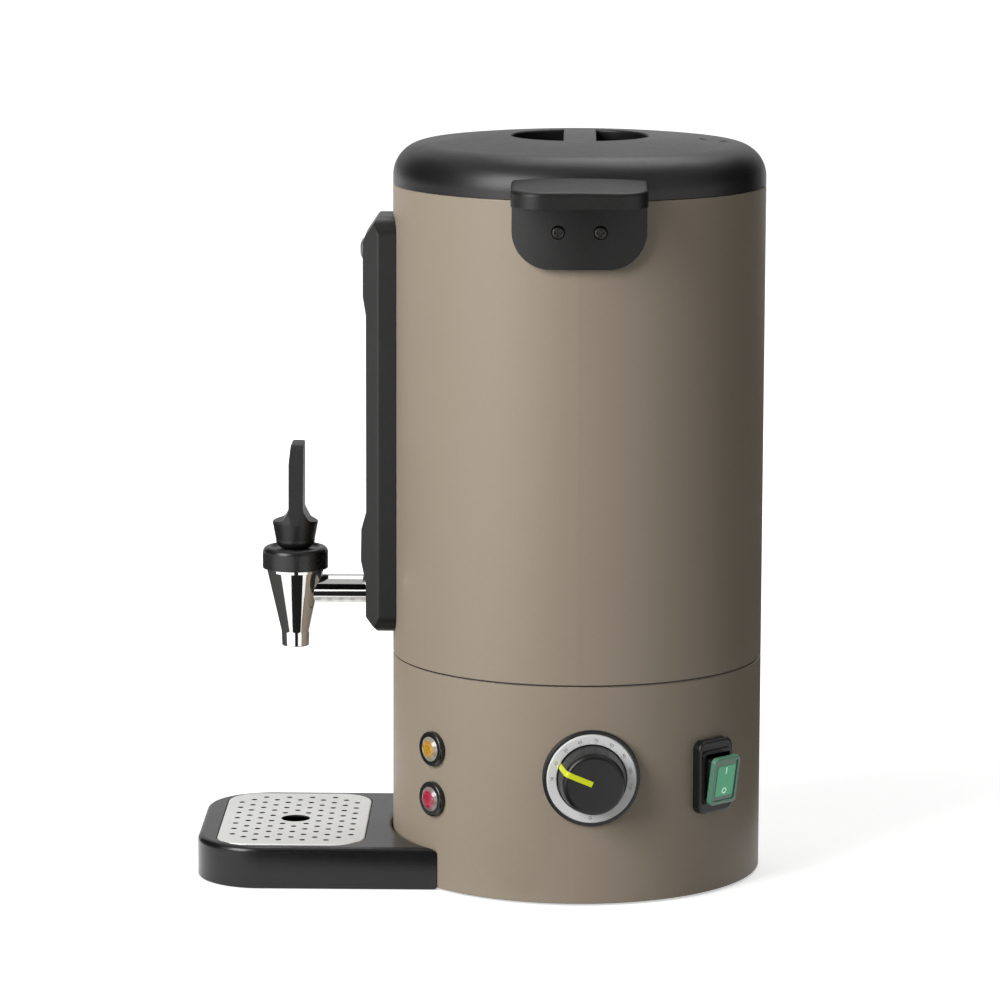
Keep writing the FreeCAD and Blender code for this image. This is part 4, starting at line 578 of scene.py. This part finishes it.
AMBER = LensFinish("amber_faceted_lens", "amber_lens", srgb(214, 160, 46), shade=0.80, roughness=0.16,
                   coat=0.5, grain_scale=700.0, grain_depth=0.00003, glow=0.12, azimuth=LAMP_AZIMUTH,
                   height=AMBER_HEIGHT)
RED = LensFinish("red_faceted_lens", "red_lens", srgb(196, 34, 70), shade=0.75, roughness=0.16,
                 coat=0.5, grain_scale=700.0, grain_depth=0.00003, glow=0.10, azimuth=LAMP_AZIMUTH,
                 height=RED_HEIGHT, rim=(0.25, 0.20, 0.19))
CLEAR = Finish("clear_acrylic", "clear", srgb(228, 236, 234), shade=0.98, roughness=0.06,
               roughness_change=0.02, transmission=0.9, grain_depth=0.000005)
PRINT_GREY = Finish("grey_scale_print", "black_plastic", srgb(118, 120, 124), roughness=0.6)
PRINT_MINT = Finish("mint_print", "silicone", srgb(214, 255, 236), roughness=0.5, glow=0.5)


# Pieces


def finish_piece(name: str, mesh: bpy.types.Mesh, body: Body, finish: Finish,
                 replaces: Sequence[str] = ()) -> bpy.types.Object:
    """Make a mesh one finished piece of the urn.

    Args:
        name: the piece's name.
        mesh: its mesh, in metres, in the row frame.
        body: the body that it rides on.
        finish: its surface.
        replaces: frame nodes that it stands for.

    Returns:
        The piece.
    """
    piece = placed(name, mesh)
    mesh.materials.append(finish.material())
    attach(piece, body.value)
    if replaces:
        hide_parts(*replaces)
    LOG.info("piece %s on %s: %d faces, %s", name, body.value, len(mesh.polygons), finish.name)
    return piece


def lettering(text: str, height: float, matrix: Matrix) -> bpy.types.Mesh:
    """Thin raised print of a short text.

    Args:
        text: what it says.
        height: height of a capital, in millimetres.
        matrix: takes the text's plane, centred, to its place in millimetres.

    Returns:
        The mesh, in metres.
    """
    curve = bpy.data.curves.new("letters", "FONT")
    curve.body = text
    curve.size = height / CAPITAL_SHARE
    curve.align_x = "CENTER"
    curve.align_y = "CENTER"
    curve.extrude = PRINT_DEPTH / 2
    curve.resolution_u = 3
    holder = placed("letters", curve)
    mesh = bpy.data.meshes.new_from_object(holder.evaluated_get(bpy.context.evaluated_depsgraph_get()))
    bpy.data.objects.remove(holder)
    bpy.data.curves.remove(curve)
    mesh.transform(Matrix.Scale(MM, 4) @ matrix)
    return mesh


def joined(name: str, drafts: Sequence[bpy.types.Mesh]) -> bpy.types.Mesh:
    """One mesh of several, which are used up."""
    bm = bmesh.new()
    for draft in drafts:
        bm.from_mesh(draft)
        bpy.data.meshes.remove(draft)
    bmesh.ops.remove_doubles(bm, verts=bm.verts, dist=WELD * MM)
    mesh = bpy.data.meshes.new(name)
    bm.to_mesh(mesh)
    bm.free()
    return mesh


# Sub-assemblies


def dress(finishes: dict[str, Finish]) -> None:
    """Give nodes of the frame their finishes.

    Args:
        finishes: the finish of each node.
    """
    for node, finish in finishes.items():
        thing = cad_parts[node]
        thing.data.materials.clear()
        thing.data.materials.append(finish.material())
        LOG.info("node %s: %s", node, finish.name)


def wall_place(azimuth: float, height: float, distance: float, tilt: float = 0.0,
               pivot: float = 0.0) -> Matrix:
    """Where a flat print sits on something that faces out of the drum's wall.

    Args:
        azimuth: degrees round the drum.
        height: height of the fitting's middle, in millimetres.
        distance: how far out of the pivot the print lies, in millimetres.
        tilt: degrees that the fitting leans about its pivot.
        pivot: distance of the pivot from the drum's axis, in millimetres.

    Returns:
        A matrix that takes a print from the XY plane, seen from +Z, to its place.
    """
    facing = Matrix(((0, 0, 1, 0), (1, 0, 0, 0), (0, 1, 0, 0), (0, 0, 0, 1)))
    lean = Matrix.Translation((pivot, 0, 0)) @ Matrix.Rotation(math.radians(tilt), 4, "Y")
    round_drum = Matrix.Translation((0, 0, height)) @ Matrix.Rotation(math.radians(azimuth), 4, "Z")
    return round_drum @ lean @ Matrix.Translation((distance, 0, 0)) @ facing


@dataclass
class Drum:
    """Painted base and jacket, the dark seam between them and the underside."""

    paint: Finish = PAINT

    def build(self) -> None:
        """Dress the drum."""
        dress({
            "base_housing": self.paint, "body_jacket": self.paint, "seam_ring": SEAM_BLACK,
            "base_plate": ZINC, "base_plate_screws": SCREW_STEEL, "rubber_feet": RUBBER,
            "cable_gland": GLAND_BLACK, "terminal_block": GREY_PLASTIC,
        })


@dataclass
class Tank:
    """Steel tank with its heater, all of it hidden until the lid comes off."""

    sheet: Finish = STAINLESS

    def build(self) -> None:
        """Dress the tank and the heater."""
        dress({
            "inner_tank": self.sheet, "tank_studs": SCREW_STEEL, "tank_nuts": SCREW_STEEL,
            "heater_plate": ALUMINIUM, "heating_element": ELEMENT, "thermal_cutout": ZINC,
        })


@dataclass
class Lid:
    """Black domed lid with its steel pan."""

    cover: Finish = LID_BLACK

    def build(self) -> None:
        """Dress the lid."""
        dress({
            "lid_cover": self.cover, "lid_pan": STAINLESS, "lid_seal": SILICONE, "lid_screws": SCREW_STEEL,
            "vent_tube": VENT_BLACK,
        })


@dataclass
class Handles:
    """The pair of side handles and their fixings."""

    moulding: Finish = HANDLE_BLACK

    def build(self) -> None:
        """Dress both handles."""
        dress({
            "right_handle": self.moulding, "left_handle": self.moulding, "handle_screws": HANDLE_SCREW,
            "handle_backing_plates": STAINLESS,
        })


@dataclass
class Gauge:
    """Sight gauge at the front."""

    housing: Finish = HOUSING_BLACK

    def build(self) -> None:
        """Dress the gauge."""
        dress({
            "gauge_housing": self.housing, "gauge_window": CLEAR, "gauge_screw": GAUGE_SCREW,
            "sight_tube": CLEAR, "sight_tube_socket": STAINLESS, "sight_tube_seals": SILICONE,
        })


@dataclass
class Tap:
    """Chromed gravity tap with its black bonnet and lever."""

    metal: Finish = CHROME
    spring_shortening: float = 0.0046

    def build(self) -> None:
        """Dress the tap and what is inside it."""
        dress({
            "tap_body": self.metal, "tap_bonnet": BONNET_BLACK, "tap_lever": LEVER_BLACK,
            "lever_pin": PIN_DARK, "valve_stem": STAINLESS, "valve_seat_cup": SILICONE,
            "shank_spacer": STAINLESS, "shank_seal": SILICONE, "shank_nut": SCREW_STEEL,
        })
        self._spring()

    def _spring(self) -> None:
        """Spring under the bonnet, made a piece of its own."""
        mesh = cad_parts["tap_spring"].data.copy()
        mesh.materials.clear()
        bm = bmesh.new()
        bm.from_mesh(mesh)
        bmesh.ops.remove_doubles(bm, verts=bm.verts, dist=WELD * MM)
        bm.to_mesh(mesh)
        bm.free()
        piece = finish_piece("pressed_spring", mesh, Body.URN, SCREW_STEEL, replaces=("tap_spring",))
        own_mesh(piece)


@dataclass
class Tray:
    """Drip tray and its pierced grid."""

    moulding: Finish = TRAY_BLACK
    plate: Finish = GRID_STEEL

    def build(self) -> None:
        """Dress the tray and the grid."""
        dress({"drip_tray": self.moulding, "drip_grid": self.plate})


@dataclass
class Thermostat:
    """Knob, silver dial with its printed scale, and the thermostat behind them."""

    azimuth: float = 4.6
    height: float = 74.4
    plate_front: float = 110.9
    number_radius: float = 22.4
    number_height: float = 1.75
    first_number: int = 30
    last_number: int = 110
    number_step: int = 10
    first_angle: float = 179.0
    angle_step: float = 23.75
    tick_radius: float = 20.9
    tick_length: float = 0.8
    tick_width: float = 0.22
    ticks_per_number: int = 2
    minor_tick_share: float = 0.55
    off_angle: float = 268.0
    off_radii: tuple[float, float] = (0.63, 0.9)

    def build(self) -> None:
        """Dress the thermostat and print its scale."""
        dress({
            "thermostat_body": GREY_PLASTIC, "thermostat_shaft": BRASS, "thermostat_nut": BRASS,
            "thermostat_bulb": BRASS, "dial_bezel": BEZEL_BLACK, "dial_plate": DIAL_SILVER,
            "control_knob": KNOB_BLACK, "knob_pointer": LIME,
        })
        place = wall_place(self.azimuth, self.height, self.plate_front)
        self._numbers(place)
        self._ticks(place)

    def _ray(self, angle: float, radius: float) -> Matrix:
        """Place on the dial at an angle and radius, turned so that up is away from the centre."""
        turn = math.radians(angle)
        point = (radius * math.cos(turn), radius * math.sin(turn), 0)
        return Matrix.Translation(point) @ Matrix.Rotation(turn - math.pi / 2, 4, "Z")

    def _numbers(self, place: Matrix) -> None:
        """Print the tens round the dial."""
        drafts = []
        for index, value in enumerate(range(self.first_number, self.last_number + 1, self.number_step)):
            spot = self._ray(self.first_angle - index * self.angle_step, self.number_radius)
            drafts.append(lettering(str(value), self.number_height, place @ spot))
        finish_piece("dial_numbers", joined("dial_numbers", drafts), Body.URN, PRINT_GREY)

    def _ticks(self, place: Matrix) -> None:
        """Print a tick at each number, a shorter one half way between two, and the round off mark."""
        marks = Solid()
        gaps = (self.last_number - self.first_number) // self.number_step
        for index in range(gaps * self.ticks_per_number + 1):
            share = self.minor_tick_share if index % self.ticks_per_number else 1.0
            bar = Solid.box((self.tick_width, self.tick_length * share, TICK_DEPTH))
            angle = self.first_angle - index * self.angle_step / self.ticks_per_number
            marks.add(bar.shaped(self._ray(angle, self.tick_radius)))
        ring = Solid.ring(*self.off_radii, TICK_DEPTH, steps=32)
        marks.add(ring.shaped(self._ray(self.off_angle, self.number_radius)))
        marks.shaped(place)
        finish_piece("dial_ticks", marks.mesh("dial_ticks"), Body.URN, PRINT_GREY)


@dataclass
class Switch:
    """Rocker switch with its translucent cap and the printed on and off marks."""

    azimuth: float = 45.5
    height: float = 69.8
    pivot: float = 109.0
    lens_front: float = 10.4
    rest_tilt: float = 9.0
    mark_offset: float = 6.0
    bar_size: tuple[float, float] = (0.7, 4.0)
    ring_radii: tuple[float, float] = (1.1, 1.8)

    def build(self) -> None:
        """Dress the switch and print its marks."""
        dress({
            "switch_body": SWITCH_BLACK, "switch_boot": BOOT_BLACK, "rocker_core": SWITCH_BLACK,
            "rocker_cap": GREEN, "rocker_lens": GREEN_WINDOW,
        })
        offset = Matrix.Translation((0, self.mark_offset, 0))
        marks = Solid.box((*self.bar_size, PRINT_DEPTH)).shaped(offset)
        ring = Solid.ring(*self.ring_radii, PRINT_DEPTH, steps=40)
        marks.add(ring.shaped(offset.inverted()))
        marks.shaped(wall_place(self.azimuth, self.height, self.lens_front, self.rest_tilt, self.pivot))
        finish_piece("switch_marks", marks.mesh("switch_marks"), Body.ROCKER, PRINT_MINT)


@dataclass
class Lamps:
    """Pilot lamps: amber over red."""

    bezel: Finish = LAMP_BLACK

    def build(self) -> None:
        """Dress both lamps."""
        dress({
            "amber_lamp_body": self.bezel, "red_lamp_body": self.bezel, "amber_lamp_lens": AMBER,
            "red_lamp_lens": RED, "lamp_nuts": BRASS,
        })


# Room


@dataclass(frozen=True)
class Card:
    """A dark card that gloss and chrome reflect; one that lies flat shows in reflections alone."""

    name: str
    place: Place
    size: tuple[float, float]
    flat_turn: float | None = None
    tone: float = 0.02


@dataclass
class Room:
    """Floor, lights, world and camera."""

    floor_side: float = 60.0
    camera_place: Place = (2.7616, 0.0, 0.6705)
    camera_yaw: float = 0.94
    camera_pitch: float = 9.35
    camera_roll: float = 0.187
    camera_lens: float = 172.9
    camera_sensor: float = 36.0
    camera_reach: float = 100.0
    lamps: tuple = field(default_factory=lambda: (
        ("key", (1.58, -1.66, 1.30), (1.3, 1.7), 64.0),
        ("top", (-0.75, 0.35, 2.3), (1.8, 1.8), 25.0),
        ("right", (1.6, 1.9, 0.9), (0.8, 1.6), 1.2),
    ))
    cards: tuple = field(default_factory=lambda: (
        Card("left_card", (-1.0, -2.6, 1.2), (3.4, 2.2)),
        Card("right_card", (-1.3, 2.3, 1.0), (3.0, 1.9)),
        Card("camera_card", (3.2, 0.26, 1.5), (1.9, 2.9)),
        Card("front_table_card", (1.41, 0.02, 0.004), (2.6, 0.22), flat_turn=7.0),
        Card("right_table_card", (-1.5, 1.62, 0.004), (3.0, 2.9), flat_turn=0.0),
        Card("left_table_card", (-0.62, -1.0, 0.004), (1.5, 1.4), flat_turn=0.0, tone=0.09),
    ))
    # Glow near the urn and far off: the lower glow near it paints a shade round the urn.
    floor_glow: tuple[float, float] = (0.50, 0.92)
    glow_reach: tuple[float, float] = (0.3, 1.6)
    floor_bounce: float = 0.28
    floor_seen: float = 0.9
    sky_fill: float = 0.2
    sky_gloss: float = 0.55
    target: Place = (0.0, 0.0, 0.22)

    def build(self) -> None:
        """Build all of it."""
        self._floor()
        self._cards()
        self._lamps()
        self._world()
        self._camera()

    def _floor(self) -> None:
        """Wide white floor that keeps the urn's shadow; its glow is painted dimmer near the urn, which
        deepens that shadow.
        """
        floor = self._board("floor", (self.floor_side, self.floor_side), Matrix.Identity(4))
        made, graph = blank_material("white_floor")
        path = graph.node("ShaderNodeLightPath")
        seen = graph.math("MAXIMUM", path.outputs["Is Camera Ray"], path.outputs["Is Glossy Ray"])
        seen = graph.math("MAXIMUM", seen, path.outputs["Is Transmission Ray"])
        matt = graph.node("ShaderNodeBsdfDiffuse")
        bounce = (self.floor_bounce,) * 3
        white = (self.floor_seen,) * 3
        graph.link(graph.blend(seen, bounce, white), matt.inputs["Color"])
        glow = graph.node("ShaderNodeEmission", in_Color=WHITE)
        away = graph.node("ShaderNodeVectorMath", operation="LENGTH")
        graph.link(graph.node("ShaderNodeTexCoord").outputs["Object"], away.inputs[0])
        # Painted shade: the glow falls towards the urn, so the floor near it is darker where the lamps'
        # shadow falls.
        share = graph.ramp(away.outputs["Value"], *self.glow_reach, *self.floor_glow)
        graph.link(graph.math("MULTIPLY", seen, share), glow.inputs["Strength"])
        mix = graph.node("ShaderNodeAddShader")
        graph.link(matt.outputs[0], mix.inputs[0])
        graph.link(glow.outputs[0], mix.inputs[1])
        graph.link(mix.outputs[0], graph.node("ShaderNodeOutputMaterial").inputs["Surface"])
        floor.data.materials.append(made)

    @staticmethod
    def _board(name: str, size: tuple[float, float], place: Matrix) -> bpy.types.Object:
        """Flat rectangle of a size, put in its place by its mesh."""
        bm = bmesh.new()
        bmesh.ops.create_grid(bm, x_segments=1, y_segments=1, size=0.5)
        bmesh.ops.scale(bm, vec=(*size, 1.0), verts=bm.verts)
        bmesh.ops.transform(bm, matrix=place, verts=bm.verts)
        mesh = bpy.data.meshes.new(name)
        bm.to_mesh(mesh)
        bm.free()
        return placed(name, mesh)

    def _cards(self) -> None:
        """Dark cards beside the camera's view, which the chrome and the gloss reflect."""
        for card in self.cards:
            flat = card.flat_turn is not None
            if flat:
                aim = Matrix.Rotation(math.radians(card.flat_turn), 4, "Z")
            else:
                aim = self._aim(card.place, "Z").to_matrix().to_4x4()
            board = self._board(card.name, card.size, Matrix.Translation(card.place) @ aim)
            board.data.materials.append(self._card_paint(card))
            board.visible_camera = False
            board.visible_diffuse = not flat
            board.visible_shadow = not flat

    def _aim(self, place: Place, axis: str) -> Quaternion:
        """Turn that points an axis from a place at the urn."""
        return (Vector(self.target) - Vector(place)).to_track_quat(axis, "Y")

    @staticmethod
    def _card_paint(card: Card) -> bpy.types.Material:
        """Matt paint of a card."""
        made, graph = blank_material(card.name)
        matt = graph.node("ShaderNodeBsdfDiffuse", in_Color=(card.tone, card.tone, card.tone, 1.0))
        graph.link(matt.outputs[0], graph.node("ShaderNodeOutputMaterial").inputs["Surface"])
        return made

    def _lamps(self) -> None:
        """Soft area lamps that all look at the urn."""
        for name, place, size, power in self.lamps:
            data = bpy.data.lights.new(name, "AREA")
            data.shape = "RECTANGLE"
            data.size, data.size_y = size
            data.energy = power
            lamp = placed(name, data)
            lamp.location = place
            lamp.rotation_euler = self._aim(place, "-Z").to_euler()

    def _world(self) -> None:
        """White to the camera and through glass, dimmer in gloss, and a low fill for everything else."""
        world = bpy.data.worlds.new("room")
        bpy.context.scene.world = world
        world.use_nodes = True
        world.node_tree.nodes.clear()
        graph = Graph(world.node_tree)
        path = graph.node("ShaderNodeLightPath")
        direct = graph.math("MAXIMUM", path.outputs["Is Camera Ray"], path.outputs["Is Transmission Ray"])
        gloss = graph.math("MULTIPLY", path.outputs["Is Glossy Ray"], self.sky_gloss)
        strength = graph.math("MAXIMUM", graph.math("MAXIMUM", direct, gloss), self.sky_fill)
        sky = graph.node("ShaderNodeBackground", in_Color=WHITE)
        graph.link(strength, sky.inputs["Strength"])
        graph.link(sky.outputs[0], graph.node("ShaderNodeOutputWorld").inputs["Surface"])

    def _camera(self) -> None:
        """Camera at the photograph's viewing angle."""
        data = bpy.data.cameras.new("camera")
        data.lens = self.camera_lens
        data.sensor_width = self.camera_sensor
        data.clip_end = self.camera_reach
        camera = placed("camera", data)
        pitch = math.radians(self.camera_pitch)
        forward = Vector((-math.cos(pitch), 0, -math.sin(pitch)))
        right = Vector((0, 1, 0))
        up = right.cross(forward)
        level = Matrix((right, up, -forward)).transposed().to_4x4()
        yaw = Matrix.Rotation(math.radians(self.camera_yaw), 4, "Z")
        roll = Matrix.Rotation(math.radians(self.camera_roll), 4, "Z")
        camera.matrix_world = Matrix.Translation(self.camera_place) @ yaw @ level @ roll
        bpy.context.scene.camera = camera
        bpy.context.scene.view_settings.view_transform = "Standard"


def main() -> None:
    """Build the urn, the room and the camera."""
    logging.basicConfig(level=logging.INFO, format="%(name)s: %(message)s")
    assemblies = (Drum(), Tank(), Lid(), Handles(), Gauge(), Tap(), Tray(), Thermostat(), Switch(), Lamps())
    for assembly in (*assemblies, Room()):
        assembly.build()


if __name__ == "__main__":
    main()
